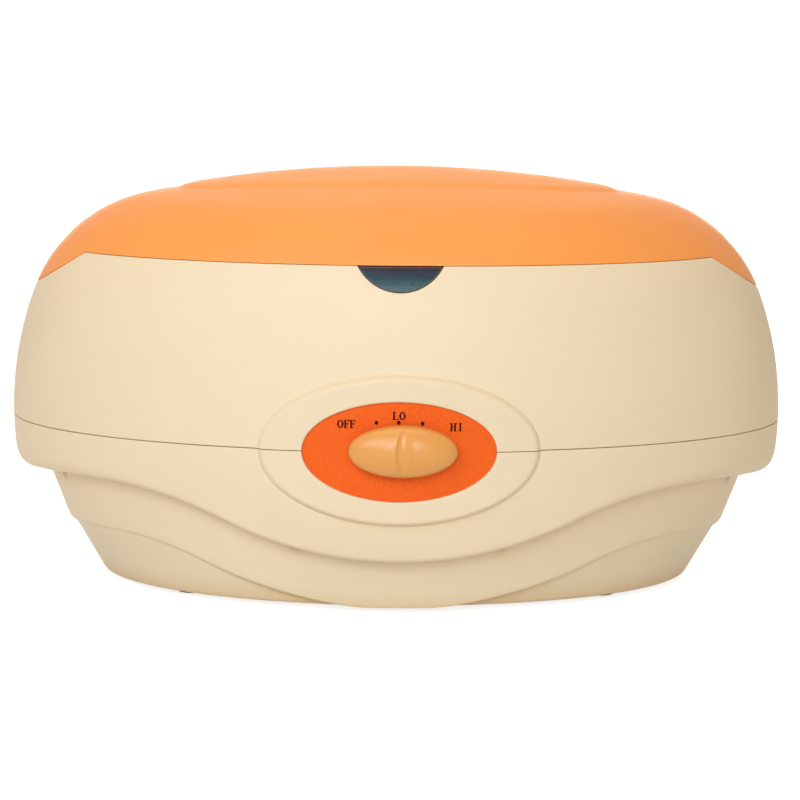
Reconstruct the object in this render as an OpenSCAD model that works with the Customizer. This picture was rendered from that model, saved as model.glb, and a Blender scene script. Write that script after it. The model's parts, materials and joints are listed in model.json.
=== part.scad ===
// Table-top paraffin wax bath: an oval moulded housing in two shells, a lift-off lid,
// a heated oval tank with a lift-out grille, and a turning heat control on the front.
// Millimetres, +Z up, front towards -Y. The origin lies on the table, under the middle
// of the overall outline. Inside on_body() the housing's own centre is the origin.

/* [Housing] */
// Overall width of the oval housing
body_w = 386; // [376:1:400]
// Depth of the oval housing, without the knob
body_d = 239; // [234:1:250]
// Height of the lid's top over the table
body_h = 206; // [203:0.2:210]
// Wall thickness of the mouldings
wall_t = 2.5; // [2:0.1:3]
// Radius of the side wall's bulge
wall_r = 170; // [165:1:185]
// Height of the housing's widest line
widest_z = 84; // [82:1:88]
// Radius of the lid's shoulder
shoulder_r = 75; // [70:1:80]
// Radius of the lid's domed top
dome_r = 615; // [560:5:680]
// Height of the seam between the two shells
seam_z = 82; // [79:1:85]
// Open groove left at the seam
seam_gap = 0.6; // [0.4:0.1:1]
// Height of the tongue that stands inside the seam
tongue_h = 4; // [3:0.5:6]
// Thickness of the tongue
tongue_t = 1.5; // [1.2:0.1:1.8]
// Sliding fit between the tongue and the upper shell
tongue_play = 0.15; // [0.1:0.05:0.25]

/* [Lid] */
// Height of the lid from its level front edge to its top
lid_h = 40.2; // [38.2:0.2:42.2]
// How far the lid's edge dips at the two sides
lid_dip = 18.6; // [15:0.2:20]
// How far the level stretch of the lid's edge ends short of the housing's end
lid_flat_in = 41.5; // [37.5:1:50.5]
// How far a dip ends short of the housing's end
lid_end_in = 12; // [9:1:17]
// Open line left under the lid's edge
lid_gap = 0.35; // [0.3:0.05:0.6]
// Distance of the raised oval crown from the housing's end
crown_in_a = 83; // [75:1:103]
// Distance of the raised oval crown from the housing's front
crown_in_b = 67.5; // [60:0.5:80]
// Height of the crown over the lid's top
crown_rise = 1; // [0.8:0.1:2]
// Height of the locating rim under the lid
rim_drop = 6; // [4:0.5:8]
// Thickness of the locating rim
rim_t = 2; // [1.6:0.1:2.6]

/* [Lower tiers] */
// Lowest height of the skirt's wavy edge, at the middle
wave1_low = 28.4; // [26:0.1:32]
// Highest height of the skirt's wavy edge
wave1_high = 60.5; // [56:0.5:62]
// Radius of the skirt wave's hollow
wave1_r_low = 193; // [180:1:200]
// Radius of the skirt wave's crest
wave1_r_high = 150; // [145:1:165]
// Lowest height of the second wavy edge, at the middle
wave2_low = 2.4; // [1:0.1:2.8]
// Highest height of the second wavy edge
wave2_high = 32.4; // [29:0.2:33]
// Radius of the second wave's hollow
wave2_r_low = 225; // [210:1:235]
// Radius of the second wave's crest
wave2_r_high = 105; // [95:1:115]
// How far the second tier lies in from the widest line, at the skirt's crests
tier2_in = 16; // [15:0.5:19]
// Lean of the second tier's wall
tier2_lean = 20.5; // [19:0.5:24]
// How far the third tier lies in from the widest line, at the second edge
tier3_in = 28; // [27:0.5:31]
// Lean of the third tier's wall
tier3_lean = 30; // [27:0.5:31]

/* [Base] */
// How far the rubber feet stand out under the base
foot_h = 3; // [2.5:0.5:4]
// Radius of a rubber foot
foot_r = 9; // [7:0.5:11]
// Distance of a foot from the housing's end
foot_in_x = 93; // [87:1:103]
// Distance of a foot from the housing's front or back
foot_in_y = 71.5; // [67.5:0.5:77.5]
// Thickness of the base cover
cover_t = 2.5; // [2:0.5:3]
// Gap round the base cover
cover_gap = 0.3; // [0.2:0.1:0.5]
// Distance of the base screws from the housing's end
post_in_x = 67; // [63:1:73]
// Half distance between the base screws across the depth
post_y = 26; // [20:1:32]
// Radius of a base screw's post
post_r = 5; // [4.5:0.5:6]
// Height of a base screw's post
post_h = 18; // [12:1:24]

/* [Fasteners] */
// Shank radius of the housing screws
screw_r = 1.75; // [1.5:0.05:2]
// Head radius of the housing screws
screw_head_r = 3; // [2.8:0.1:3.3]
// Head height of the housing screws
screw_head_h = 2.2; // [1.8:0.1:2.6]
// Radius of a screw's access hole under the skirt
access_r = 3.6; // [3.4:0.1:4]
// Height of the seat that a housing screw's head bears on
screw_seat_z = 66; // [65:1:68]
// Radius of the columns that the housing screws join
column_r = 5; // [4.6:0.1:5.5]
// Distance of the middle housing screws from the housing's end
screw_mid_in = 144.5; // [141:0.5:147]
// Distance of the end housing screws from the housing's end
screw_end_in = 28; // [26:0.5:31]

/* [Control] */
// Half length of the raised boss round the dial
boss_a = 64.5; // [60:0.5:68]
// Half height of the raised boss round the dial
boss_b = 34.5; // [32:0.5:36]
// How far the boss stands out from the housing's widest line
boss_out = 2; // [1.6:0.1:2.6]
// Half length of the dial plate
dial_a = 44.7; // [42:0.1:46]
// Half height of the dial plate
dial_b = 23.1; // [22:0.1:24]
// Thickness of the dial plate
dial_t = 1.5; // [1.2:0.1:1.8]
// How far the dial plate lies under the boss's face
dial_sunk = 1.5; // [1.2:0.1:1.8]
// Gap round the dial plate
dial_gap = 0.25; // [0.2:0.05:0.4]
// Sideways place of the control spindle
knob_x = 1.6; // [0:0.1:2]
// Height of the control spindle over the seam
knob_up = 1; // [0:0.5:3]
// Half length of the knob
knob_a = 25; // [24:0.5:26.5]
// Half height of the knob
knob_b = 12; // [11.5:0.5:13.5]
// Depth of the knob, from its back to its face
knob_t = 11.5; // [10:0.5:14]
// Height of the knob's upright rim
knob_rim = 4; // [3:0.5:5]
// Gap between the knob's back and the boss's face
knob_lift = 1; // [0.6:0.1:1.5]
// Width of the grip ridge across the knob
ridge_w = 6.4; // [5:0.2:8]
// How far the grip ridge stands out of the knob
ridge_out = 1.6; // [1:0.1:2.5]
// Radius of the control spindle
spindle_r = 3; // [2.5:0.1:3.5]
// Running clearance round the spindle
spindle_play = 0.05; // [0.03:0.01:0.08]
// Radius of the thermostat's threaded bush
bush_r = 5; // [4.6:0.1:5.5]
// Radius of the thermostat's can
can_r = 15; // [13:0.5:16]
// Depth of the thermostat's can
can_t = 17; // [14:0.5:18]

/* [Lens] */
// Half width of the half-moon lens at the lid's edge
lens_half_w = 19.5; // [17.5:0.5:22]
// Height of the half-moon lens
lens_h = 11.5; // [10.5:0.5:13]
// Gap round the lens
lens_gap = 0.2; // [0.15:0.05:0.3]

/* [Tank] */
// Depth of the deck that carries the tank, under the lid's front edge
deck_down = 22; // [21:0.5:24]
// Thickness of the deck
deck_t = 3; // [2.5:0.5:4]
// Distance of the tank's mouth from the housing's end
tank_in_x = 45; // [43:1:53]
// Distance of the tank's mouth from the housing's front or back
tank_in_y = 35.5; // [34.5:0.5:39.5]
// Depth of the tank, from its flange
tank_depth = 86; // [80:1:88]
// Wall of the tank
tank_t = 1.5; // [1.2:0.1:2]
// How far the tank's wall leans in down to its floor
tank_taper = 7; // [5:0.5:10]
// Radius between the tank's wall and floor
tank_r = 16; // [12:1:20]
// Width of the tank's flange
flange_w = 9; // [7:0.5:10]
// Thickness of the tank's gasket
gasket_t = 1; // [0.8:0.1:1.5]

/* [Grille] */
// Gap round the grille at the tank's wall
grille_gap = 3; // [2:0.5:5]
// Thickness of the grille
grille_t = 4; // [3:0.5:5]
// Height of the grille's feet
grille_foot = 9; // [7:0.5:12]
// Width of a slot in the grille
slot_w = 7; // [6:0.5:8]
// Width of a bar between two slots
bar_w = 5; // [4:0.5:7]
// Gap that parts a loose piece from its seat
loose_gap = 0.3; // [0.2:0.05:0.4]

/* [Cord inlet] */
// Height of the cord gland's axis over the skirt's lowest edge
gland_up = 15.9; // [14.9:0.5:19.9]
// Bore radius of the cord gland
gland_r = 3.6; // [3.2:0.1:4]
// Radius of the gland's barrel
gland_barrel_r = 6.5; // [6:0.1:7]
// Radius of the gland's collar
gland_collar_r = 9; // [8.5:0.1:9.5]
// Length of the gland
gland_len = 20; // [18:0.5:22]
// Thickness of the gland's collar
gland_collar_t = 2.4; // [1.8:0.1:2.4]

/* [Hidden] */
$fn = 96;

cream = [0.94, 0.87, 0.74];
orange = [0.98, 0.65, 0.36];
deep_orange = [0.93, 0.38, 0.14];
knob_orange = [0.90, 0.64, 0.35];
smoke = [0.24, 0.33, 0.38];
steel = [0.72, 0.73, 0.75];
alu = [0.80, 0.81, 0.83];
black = [0.13, 0.13, 0.14];
brass = [0.80, 0.66, 0.32];

// Fineness of the long arcs and of the oval turns
long_fn = 360;
turn_fn = 144;
// Overshoot of a cut past the face that it opens
over = 1;
// A length past every outline
far = 400;

half_w = body_w / 2;
half_d = body_d / 2;
lid_z = body_h - lid_h;
lid_flat = half_w - lid_flat_in;
lid_end = half_w - lid_end_in;
crown_a = half_w - crown_in_a;
crown_b = half_d - crown_in_b;
foot_x = half_w - foot_in_x;
foot_y = half_d - foot_in_y;
post_x = half_w - post_in_x;
screw_mid_x = half_w - screw_mid_in;
screw_end_x = half_w - screw_end_in;
deck_z = lid_z - deck_down;
tank_a = half_w - tank_in_x;
tank_b = half_d - tank_in_y;
// How deep a moulding lies at X = x, for an oval with half axes a and b
function oval_y(a, b, x) = b * sqrt(1 - pow(x / a, 2));

// Centres of the three arcs of the upper outline
wall_c = [half_w - wall_r, widest_z];
dome_c = [0, body_h - crown_rise - dome_r];
from_wall = wall_r - shoulder_r;
from_dome = dome_r - shoulder_r;
arc_base = norm(dome_c - wall_c);
arc_along = (pow(from_wall, 2) - pow(from_dome, 2) + pow(arc_base, 2)) / (2 * arc_base);
arc_aside = sqrt(pow(from_wall, 2) - pow(arc_along, 2));
arc_dir = (dome_c - wall_c) / arc_base;
shoulder_c = wall_c + arc_along * arc_dir + arc_aside * [-arc_dir[1], arc_dir[0]];
// Heights where the wall meets the shoulder, and the shoulder the dome
wall_top = wall_c[1] + wall_r * (shoulder_c[1] - wall_c[1]) / from_wall;
dome_low = dome_c[1] + dome_r * (shoulder_c[1] - dome_c[1]) / from_dome;
// Half width of the wall at height z, and the matching half depth
function wall_a(z) = wall_c[0] + sqrt(pow(wall_r, 2) - pow(z - widest_z, 2));
function shoulder_a(z) = shoulder_c[0] + sqrt(pow(shoulder_r, 2) - pow(z - shoulder_c[1], 2));
function outer_a(z) = z > wall_top ? shoulder_a(z) : wall_a(z);
function depth_of(a) = a * half_d / half_w;
// Height of the dome over the point x, y
function dome_z(x, y) = dome_c[1] + sqrt(pow(dome_r, 2) - pow(x, 2) - pow(y * half_w / half_d, 2));

skirt_low = 20;
skirt_top = seam_z - seam_gap / 2;
shell_low = seam_z + seam_gap / 2;
// The cavity widens from the tiers to the skirt over the skirt's crests
shelf_z = wave1_high + wall_t;
function tier2_a(z) = half_w - tier2_in - (wave1_high - z) * tan(tier2_lean);
function tier3_a(z) = half_w - tier3_in - (wave2_high - z) * tan(tier3_lean);
// Where the middle of the third tier's wall passes, at height z and depth y
function tier3_x(z, y) =
    (tier3_a(z) - wall_t / 2) * sqrt(1 - pow(y / (depth_of(tier3_a(z)) - wall_t / 2), 2));
tier2_top = shelf_z + 3;
tier3_top = wave2_high + 14;
base_z = foot_h;
cover_a = tier3_a(base_z) - wall_t - cover_gap - 1;
cover_b = depth_of(tier3_a(base_z)) - wall_t - cover_gap - 1;

deck_low = deck_z - deck_t;
// The deck's edge ends inside the wall
deck_a = wall_a(deck_z) - wall_t / 2;
deck_b = depth_of(wall_a(deck_z)) - wall_t / 2;
tank_rim_z = deck_z + gasket_t + tank_t;
tank_floor_z = tank_rim_z - tank_depth;
tank_out_z = tank_floor_z - tank_t;
mouth_a = tank_a + tank_t + 2;
mouth_b = tank_b + tank_t + 2;
flange_a = tank_a + tank_t + flange_w;
flange_b = tank_b + tank_t + flange_w;
// Half axes of the tank, inside, at height z
function tank_lean(z) = tank_taper * (tank_rim_z - z) / tank_depth;
function tank_in_a(z) = tank_a - tank_lean(z);
function tank_in_b(z) = tank_b - tank_lean(z);

// Heating pad under the tank's floor, its clamping plate and the two studs that hold both
heater_t = 2;
heater_low = tank_out_z - heater_t;
clamp_in = 10;
clamp_low = heater_low - 1.5;
heater_a = tank_a - tank_taper - tank_r - 17;
heater_b = tank_b - tank_taper - tank_r - 9;
stud_x = heater_a / 2;
stud_r = 2;
nut_turn = 5.5;

spindle_z = seam_z + knob_up;
boss_y = half_d + boss_out;
dial_y = boss_y - dial_sunk;
dial_back = dial_y - dial_t;
knob_back = boss_y + knob_lift;
knob_face = knob_back + knob_t;
reach_front = knob_face + ridge_out;
// The overall outline reaches from the ridge to the back of the oval
mid_y = (reach_front - half_d) / 2;
wall_in_y = half_d - wall_t;
bracket_t = 1.5;
bracket_w = 17;
tongue_a = half_w - wall_t - tongue_play;
tongue_b = wall_in_y - tongue_play;
// The bracket's flat face stands against the curved tongue at its two ends
bracket_y = oval_y(tongue_a - tongue_t, tongue_b - tongue_t, bracket_w + knob_x) - 0.1;
can_y = bracket_y - bracket_t;
can_back = can_y - can_t;
nut_t = 2.5;
nut_r = 8;
bush_end = dial_y + nut_t + 1.2;
spindle_end = bush_end + 6;
spindle_start = can_y - 9;
well_r = 10;
knob_seat = bush_end + 1;

lens_r = (pow(lens_half_w, 2) + pow(lens_h, 2)) / (2 * lens_h);
lens_top = lid_z - lid_gap;
// A cut made from here outwards leaves the back of the housing whole
front_half = half_d / 2;
pipe_w = 28;
pipe_t = 3.6;
pipe_low = deck_low - 1.5;
pipe_high = lid_z - 7.5;
// Inner face of the wall at the light pipe's top, and the pipe's own inner face
pipe_top_a = shoulder_a(pipe_high + wall_t);
pipe_wall = oval_y(pipe_top_a - wall_t, depth_of(pipe_top_a) - wall_t, pipe_w / 2);
pipe_y = pipe_wall - loose_gap - pipe_t;
bridge_w = 16;
bridge_t = 3;
lamp_r = 2.5;
lamp_h = 7;
lamp_x = 8;
holder_t = 2;
holder_z = pipe_low - lamp_h - loose_gap;

gland_z = wave1_low + gland_up;
// The inlet block's two upright faces, and the ends of the gland
gland_face = depth_of(outer_a(gland_z)) + 0.5;
gland_seat = gland_face - 14;
gland_out = gland_face + gland_collar_t;
gland_in = gland_out - gland_len;
block_half = gland_collar_r + 2;
block_gap = 0.2;
inlet_half = gland_collar_r + 4;
ledge_out = gland_in - 0.4;
ledge_w = 9;

// The rim clears the wall's inner face, which leans in up to the lid's edge
rim_b = depth_of(outer_a(lid_z + wall_t)) - wall_t - 0.6;
rim_a = rim_b * half_w / half_d;
rim_z = lid_z - rim_drop;

grille_z = tank_floor_z + loose_gap + grille_foot;
grille_a = tank_in_a(grille_z) - grille_gap;
grille_b = tank_in_b(grille_z) - grille_gap;
grille_rim = 6;
slot_n = floor((2 * (grille_a - grille_rim) + bar_w) / (slot_w + bar_w));

// Places of the eight housing screws, each with the height its lower column starts at
screw_mid_y = oval_y(tier2_a(wave1_low), depth_of(tier2_a(wave1_low)), screw_mid_x) + 3.4;
screw_end_y = oval_y(tier2_a(shelf_z - 7), depth_of(tier2_a(shelf_z - 7)), screw_end_x - 2) + 0.6;
screw_places = [
    for (sx = [-1, 1])
        for (sy = [-1, 1])
            for (p = [[screw_mid_x, screw_mid_y, wave1_low + 8], [screw_end_x, screw_end_y, shelf_z - 1.5]])
                [sx * p[0], sy * p[1], p[2]]
];
// How far a housing screw's hole and its point reach up into the upper shell
screw_hole = 26;
screw_reach = 22;

// Moves everything from the housing's own centre to the origin of the outline
module on_body() {
    translate([0, mid_y, 0]) children();
}

// Whole and broken millimetres apart, which keeps the tangent arcs true
module place(p) {
    whole = [floor(p[0]), floor(p[1])];
    translate(whole) translate(p - whole) children();
}

// Horizontal band of a profile
module band(x0, x1, z0, z1) {
    polygon([[x0, z0], [x1, z0], [x1, z1], [x0, z1]]);
}

// Turns a profile into an oval solid: the half axis b lies along Y
module oval_turn(a, b) {
    for (q = [0 : 3])
        scale([1, b / a, 1]) rotate([0, 0, 90 * q])
            rotate_extrude(angle = 90, $fn = turn_fn) children();
}

module oval_rod(a, b, z0, z1) {
    oval_turn(a, b) band(0, a, z0, z1);
}

// Draws a solid smaller all round by t, for a cavity
module inset(t) {
    scale([1 - t / half_w, 1 - t / half_d, 1]) children();
}

// Turns an extrusion along Z into one along -Y, so that a profile's second axis is height
module along_y(y0, y1) {
    translate([0, -y0, 0]) rotate([90, 0, 0]) linear_extrude(y1 - y0) children();
}

// Places a round piece on an axis along -Y, drawn upwards from y0
module spindle_axis(y0) {
    translate([knob_x, -y0, spindle_z]) rotate([90, 0, 0]) children();
}

// Outline of the housing and the lid: wall, shoulder and dome arcs
module upper_profile(z0) {
    intersection() {
        place(wall_c) circle(wall_r, $fn = long_fn);
        band(0, far, z0, wall_top);
    }
    intersection() {
        place(shoulder_c) circle(shoulder_r, $fn = long_fn);
        band(shoulder_c[0], far, wall_top, dome_low);
    }
    band(0, shoulder_c[0], wall_top, dome_low);
    intersection() {
        place(dome_c) circle(dome_r, $fn = long_fn);
        band(0, far, dome_low, body_h);
    }
}

module upper_form(z0) {
    oval_turn(half_w, half_d) upper_profile(z0);
}

// Everything over the lid's edge line, which is level and dips at both sides
module over_lid_line(up) {
    low = lid_z - lid_dip + up;
    high = lid_z + up;
    along_y(-far, far)
        polygon([
            [-far, low], [-lid_end, low], [-lid_flat, high], [lid_flat, high],
            [lid_end, low], [far, low], [far, far], [-far, far]
        ]);
}

module under_lid_line(up) {
    low = lid_z - lid_dip + up;
    high = lid_z + up;
    along_y(-far, far)
        polygon([
            [-far, low], [-lid_end, low], [-lid_flat, high], [lid_flat, high],
            [lid_end, low], [far, low], [far, -far], [-far, -far]
        ]);
}

// Everything over a wavy edge: a hollow at the middle that runs into a crest on each side
module over_wave(low, high, r_low, r_high) {
    sweep = acos(1 - (high - low) / (r_low + r_high));
    turn_x = r_low * sin(sweep);
    crest_x = (r_low + r_high) * sin(sweep);
    top = seam_z + 20;
    along_y(-far, far) {
        difference() {
            band(-turn_x, turn_x, low - over, top);
            difference() {
                band(-turn_x, turn_x, low - 2 * over, high);
                place([0, low + r_low]) circle(r_low, $fn = long_fn);
            }
        }
        for (s = [-1, 1])
            difference() {
                band(s * turn_x, s * far, low - over, top);
                place([s * crest_x, high - r_high]) circle(r_high, $fn = long_fn);
            }
    }
}

// Front boss, an upright oval that follows the housing's curve; out is its face
module dial_oval(a, b, y_in, y_out) {
    intersection() {
        translate([0, 0, seam_z]) along_y(y_in - 12, y_out + over) scale([1, b / a]) circle(a);
        difference() {
            oval_rod(y_out + half_w - half_d, y_out, seam_z - b - over, seam_z + b + over);
            oval_rod(y_in + half_w - half_d, y_in, seam_z - b - 2 * over, seam_z + b + 2 * over);
        }
    }
}

module dial_holes() {
    spindle_axis(wall_in_y - 6) cylinder(r = bush_r + 0.2, h = 20);
}

module lens_outline(gap) {
    translate([0, lens_top - lens_h + lens_r]) circle(lens_r + gap);
}

// Upper housing: wall, deck with the tank's mouth, half the dial boss, screw columns
module upper_housing() {
    color(cream) on_body() difference() {
        union() {
            difference() {
                upper_form(shell_low);
                inset(wall_t) translate([0, 0, -wall_t]) upper_form(shell_low - over);
            }
            oval_rod(deck_a, deck_b, deck_low, deck_z);
            intersection() {
                dial_oval(boss_a, boss_b, wall_in_y + wall_t / 2, boss_y);
                translate([-far, -far, shell_low]) cube([2 * far, far, far]);
            }
            intersection() {
                inset(wall_t / 2) upper_form(shell_low - over);
                for (p = screw_places)
                    translate([p[0], p[1], shell_low]) cylinder(r = column_r, h = deck_low + over - shell_low);
            }
        }
        over_lid_line(0);
        oval_rod(mouth_a, mouth_b, deck_low - over, deck_z + over);
        dial_oval(dial_a + dial_gap, dial_b + dial_gap, dial_back, boss_y + 2 * over);
        dial_holes();
        along_y(front_half, far) lens_outline(lens_gap);
        translate([-pipe_w / 2 - lens_gap, -pipe_y - pipe_t - lens_gap, deck_low - over])
            cube([pipe_w + 2 * lens_gap, pipe_t + 2 * lens_gap, deck_t + 2 * over]);
        for (p = screw_places)
            translate([p[0], p[1], shell_low - over]) cylinder(r = screw_r - 0.1, h = screw_hole);
        tank_screw_holes(deck_low - over, deck_z - 0.8);
    }
}

// Second and third tiers under the skirt, each cut by its own wavy edge
module lower_form() {
    intersection() {
        oval_turn(half_w, half_d) intersection() {
            place(wall_c) circle(wall_r, $fn = long_fn);
            band(0, far, skirt_low, skirt_top);
        }
        over_wave(wave1_low, wave1_high, wave1_r_low, wave1_r_high);
    }
    intersection() {
        oval_turn(half_w, half_d)
            polygon([
                [0, base_z], [tier2_a(base_z), base_z], [tier2_a(tier2_top), tier2_top], [0, tier2_top]
            ]);
        over_wave(wave2_low, wave2_high, wave2_r_low, wave2_r_high);
    }
    oval_turn(half_w, half_d)
        polygon([
            [0, base_z], [tier3_a(base_z), base_z], [tier3_a(tier3_top), tier3_top], [0, tier3_top]
        ]);
}

module lower_cavity() {
    inset(wall_t) oval_turn(half_w, half_d)
        polygon([
            [0, base_z - over], [tier3_a(base_z - over), base_z - over],
            [tier3_a(wave2_high), wave2_high], [tier2_a(shelf_z), shelf_z],
            [wall_a(shelf_z + 6), shelf_z + 6], [wall_a(seam_z), seam_z + over], [0, seam_z + over]
        ]);
}

// Lower housing: skirt, wavy tiers, seam tongue, screw columns and base posts
module lower_housing() {
    color(cream) on_body() difference() {
        union() {
            difference() {
                lower_form();
                lower_cavity();
            }
            difference() {
                oval_rod(tongue_a, tongue_b, seam_z - tongue_h - 2, seam_z + tongue_h);
                oval_rod(tongue_a - tongue_t, tongue_b - tongue_t, seam_z - tongue_h - 3, seam_z + tongue_h + 1);
            }
            intersection() {
                dial_oval(boss_a, boss_b, wall_in_y + wall_t / 2, boss_y);
                translate([-far, -far, -far]) cube([2 * far, far, far + skirt_top]);
            }
            for (p = screw_places)
                translate(p) cylinder(r = column_r, h = skirt_top - p[2]);
            for (sx = [-1, 1])
                for (sy = [-1, 1])
                    base_post(sx, sy);
        }
        for (p = screw_places) {
            translate([p[0], p[1], 0]) cylinder(r = access_r, h = screw_seat_z);
            translate([p[0], p[1], screw_seat_z - over]) cylinder(r = screw_r + 0.2, h = seam_z + 9 - screw_seat_z);
        }
        dial_oval(dial_a + dial_gap, dial_b + dial_gap, dial_back, boss_y + 2 * over);
        dial_holes();
        inlet_window();
    }
}

// Post for a base screw, with the rib that ties it to the wall
module base_post(sx, sy) {
    z0 = base_z + cover_t + cover_gap;
    difference() {
        union() {
            translate([sx * post_x, sy * post_y, z0]) cylinder(r = post_r, h = post_h);
            along_y(-sy * post_y - 1, 1 - sy * post_y)
                polygon([
                    [sx * post_x, z0 + 4], [sx * tier3_x(z0 + 4, post_y), z0 + 4],
                    [sx * tier3_x(z0 + post_h, post_y), z0 + post_h], [sx * post_x, z0 + post_h]
                ]);
        }
        translate([sx * post_x, sy * post_y, z0 - over]) cylinder(r = screw_r - 0.15, h = post_h - 3);
    }
}

// Block let into the back wall: it carries the gland, and a ledge to clamp the cord on
module inlet_block() {
    color(cream) on_body() difference() {
        union() {
            translate([-inlet_half, gland_seat, gland_z - block_half])
                cube([2 * inlet_half, gland_face - gland_seat, 2 * block_half]);
            translate([-inlet_half, ledge_out - ledge_w, gland_z - block_half])
                cube([2 * inlet_half, gland_seat - ledge_out + ledge_w + over, block_half - loose_gap / 2]);
        }
        translate([0, ledge_out - ledge_w - over, gland_z]) rotate([-90, 0, 0]) cylinder(r = gland_r, h = 2 * ledge_w);
        translate([0, ledge_out, gland_z]) rotate([-90, 0, 0])
            cylinder(r = gland_collar_r + 0.4, h = gland_seat - ledge_out);
        translate([0, ledge_out, gland_z]) rotate([-90, 0, 0]) cylinder(r = gland_barrel_r + 0.2, h = 2 * gland_len);
        for (s = [-1, 1])
            translate([s * 10, ledge_out - ledge_w / 2, gland_z - 9]) cylinder(r = 1.2, h = 12);
    }
}

// Square window in the back wall for the inlet block
module inlet_window() {
    w = inlet_half + block_gap;
    h = block_half + block_gap;
    translate([-w, gland_seat - 12, gland_z - h]) cube([2 * w, 40, 2 * h]);
}

// Flat cover that closes the housing from below
module base_cover() {
    vents = 9;
    color(cream) on_body() difference() {
        oval_rod(cover_a, cover_b, base_z, base_z + cover_t);
        for (sx = [-1, 1])
            for (sy = [-1, 1]) {
                translate([sx * post_x, sy * post_y, base_z - over]) cylinder(r = screw_r + 0.25, h = cover_t + 2 * over);
                translate([sx * post_x, sy * post_y, base_z - over]) cylinder(r = screw_head_r + 0.3, h = over + 1.4);
                translate([sx * foot_x, sy * foot_y, base_z - over]) cylinder(r = foot_r, h = over + 1.2);
                translate([sx * foot_x, sy * foot_y, base_z - over]) cylinder(r = 2.6, h = cover_t + 2 * over);
            }
        for (i = [0 : vents - 1])
            for (s = [-1, 1])
                translate([(i - (vents - 1) / 2) * 12 - 2, s * 26 - 12, base_z - over])
                    cube([4, 24, cover_t + 2 * over]);
    }
}

// Rubber feet: a pad, and a plug that holds it in the cover
module rubber_feet() {
    color(black) on_body()
        for (sx = [-1, 1])
            for (sy = [-1, 1])
                translate([sx * foot_x, sy * foot_y, 0]) rotate_extrude()
                    polygon([
                        [0, 0], [foot_r - 1.6, 0], [foot_r - 0.8, 0.8], [foot_r - 0.2, foot_h + 1.2],
                        [2.5, foot_h + 1.2], [2.5, foot_h + cover_t], [3.4, foot_h + cover_t + 0.2],
                        [2.4, foot_h + cover_t + 2], [0, foot_h + cover_t + 2]
                    ]);
}

// Pan-head screw drawn upwards, head lowest, origin at the head's seat
module screw(shank, head_r, head_h, len) {
    difference() {
        union() {
            translate([0, 0, -head_h]) cylinder(r = head_r, h = head_h);
            cylinder(r = shank, h = len);
        }
        for (a = [0, 90])
            rotate([0, 0, a]) translate([-head_r * 0.6, -0.4, -head_h - over]) cube([head_r * 1.2, 0.8, over + head_h * 0.5]);
    }
}

module base_screws() {
    color(steel) on_body()
        for (sx = [-1, 1])
            for (sy = [-1, 1])
                translate([sx * post_x, sy * post_y, base_z + 1.4])
                    screw(screw_r - 0.2, screw_head_r, 1.3, post_h - 4);
}

module housing_screws() {
    color(steel) on_body()
        for (p = screw_places)
            translate([p[0], p[1], screw_seat_z])
                screw(screw_r - 0.15, screw_head_r, screw_head_h, shell_low + screw_reach - screw_seat_z);
}

// Printed oval plate of the heat control
module dial_plate() {
    color(deep_orange) on_body() difference() {
        dial_oval(dial_a, dial_b, dial_back, dial_y);
        dial_holes();
    }
}

// Smoked half-moon lens flush in the wall, with a light pipe down through the deck
module indicator_lens() {
    color(smoke) on_body() {
        difference() {
            intersection() {
                difference() {
                    upper_form(deck_z);
                    inset(wall_t) translate([0, 0, -wall_t]) upper_form(deck_z - 2 * over);
                }
                along_y(front_half, far) lens_outline(0);
            }
            over_lid_line(-lid_gap);
        }
        translate([-pipe_w / 2, -pipe_y - pipe_t, pipe_low]) cube([pipe_w, pipe_t, pipe_high - pipe_low]);
        translate([-bridge_w / 2, -pipe_wall - 1, pipe_high - bridge_t]) cube([bridge_w, pipe_t, bridge_t]);
    }
}

// Neon lamp in its glass tube
module lamp(x) {
    translate([x, -pipe_y - pipe_t / 2, holder_z]) rotate_extrude()
        polygon([[0, 0], [lamp_r, 0], [lamp_r, lamp_h - 1.5], [lamp_r - 1, lamp_h - 0.3], [0, lamp_h - 0.3]]);
}

module power_lamp() {
    color("orangered") on_body() lamp(-lamp_x);
}

module ready_lamp() {
    color("limegreen") on_body() lamp(lamp_x);
}

// Bracket that hangs the lamps under the deck, beside the light pipe
module lamp_holder() {
    arm_x = lamp_x + lamp_r + 8;
    color("white") on_body() {
        difference() {
            translate([-arm_x, -pipe_y - pipe_t / 2 - 4, holder_z - holder_t])
                cube([2 * arm_x, 8, holder_t]);
            for (s = [-1, 1])
                translate([s * lamp_x, -pipe_y - pipe_t / 2, holder_z - holder_t - over])
                    cylinder(r = 0.9, h = holder_t + 2 * over);
        }
        for (s = [-1, 1])
            translate([s > 0 ? arm_x - 2 : -arm_x, -pipe_y - pipe_t / 2 - 4, holder_z])
                cube([2, 8, deck_low - holder_z]);
    }
}

// Oval tub with a flange; drawn from its floor up
module tank_form(t, z_low, z_top) {
    a0 = tank_in_a(tank_floor_z) + t;
    b0 = tank_in_b(tank_floor_z) + t;
    a1 = tank_a + t;
    r = tank_r + t;
    oval_turn(a1, tank_b + t) {
        polygon([[0, z_low], [a0 - r, z_low], [a0 - r, z_low + r], [0, z_low + r]]);
        intersection() {
            place([a0 - r, z_low + r]) circle(r);
            band(a0 - r, far, z_low, z_low + r);
        }
        polygon([[0, z_low + r], [a0, z_low + r], [a1, z_top], [0, z_top]]);
    }
}

module inner_tank() {
    color(alu) on_body() {
        difference() {
            union() {
                tank_form(tank_t, tank_out_z, tank_rim_z);
                oval_rod(flange_a, flange_b, tank_rim_z - tank_t, tank_rim_z);
            }
            tank_form(0, tank_floor_z, tank_rim_z + over);
        }
        for (s = [-1, 1])
            translate([s * stud_x, 0, clamp_low - 5]) cylinder(r = stud_r, h = tank_floor_z - clamp_low + 4);
    }
}

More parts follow.
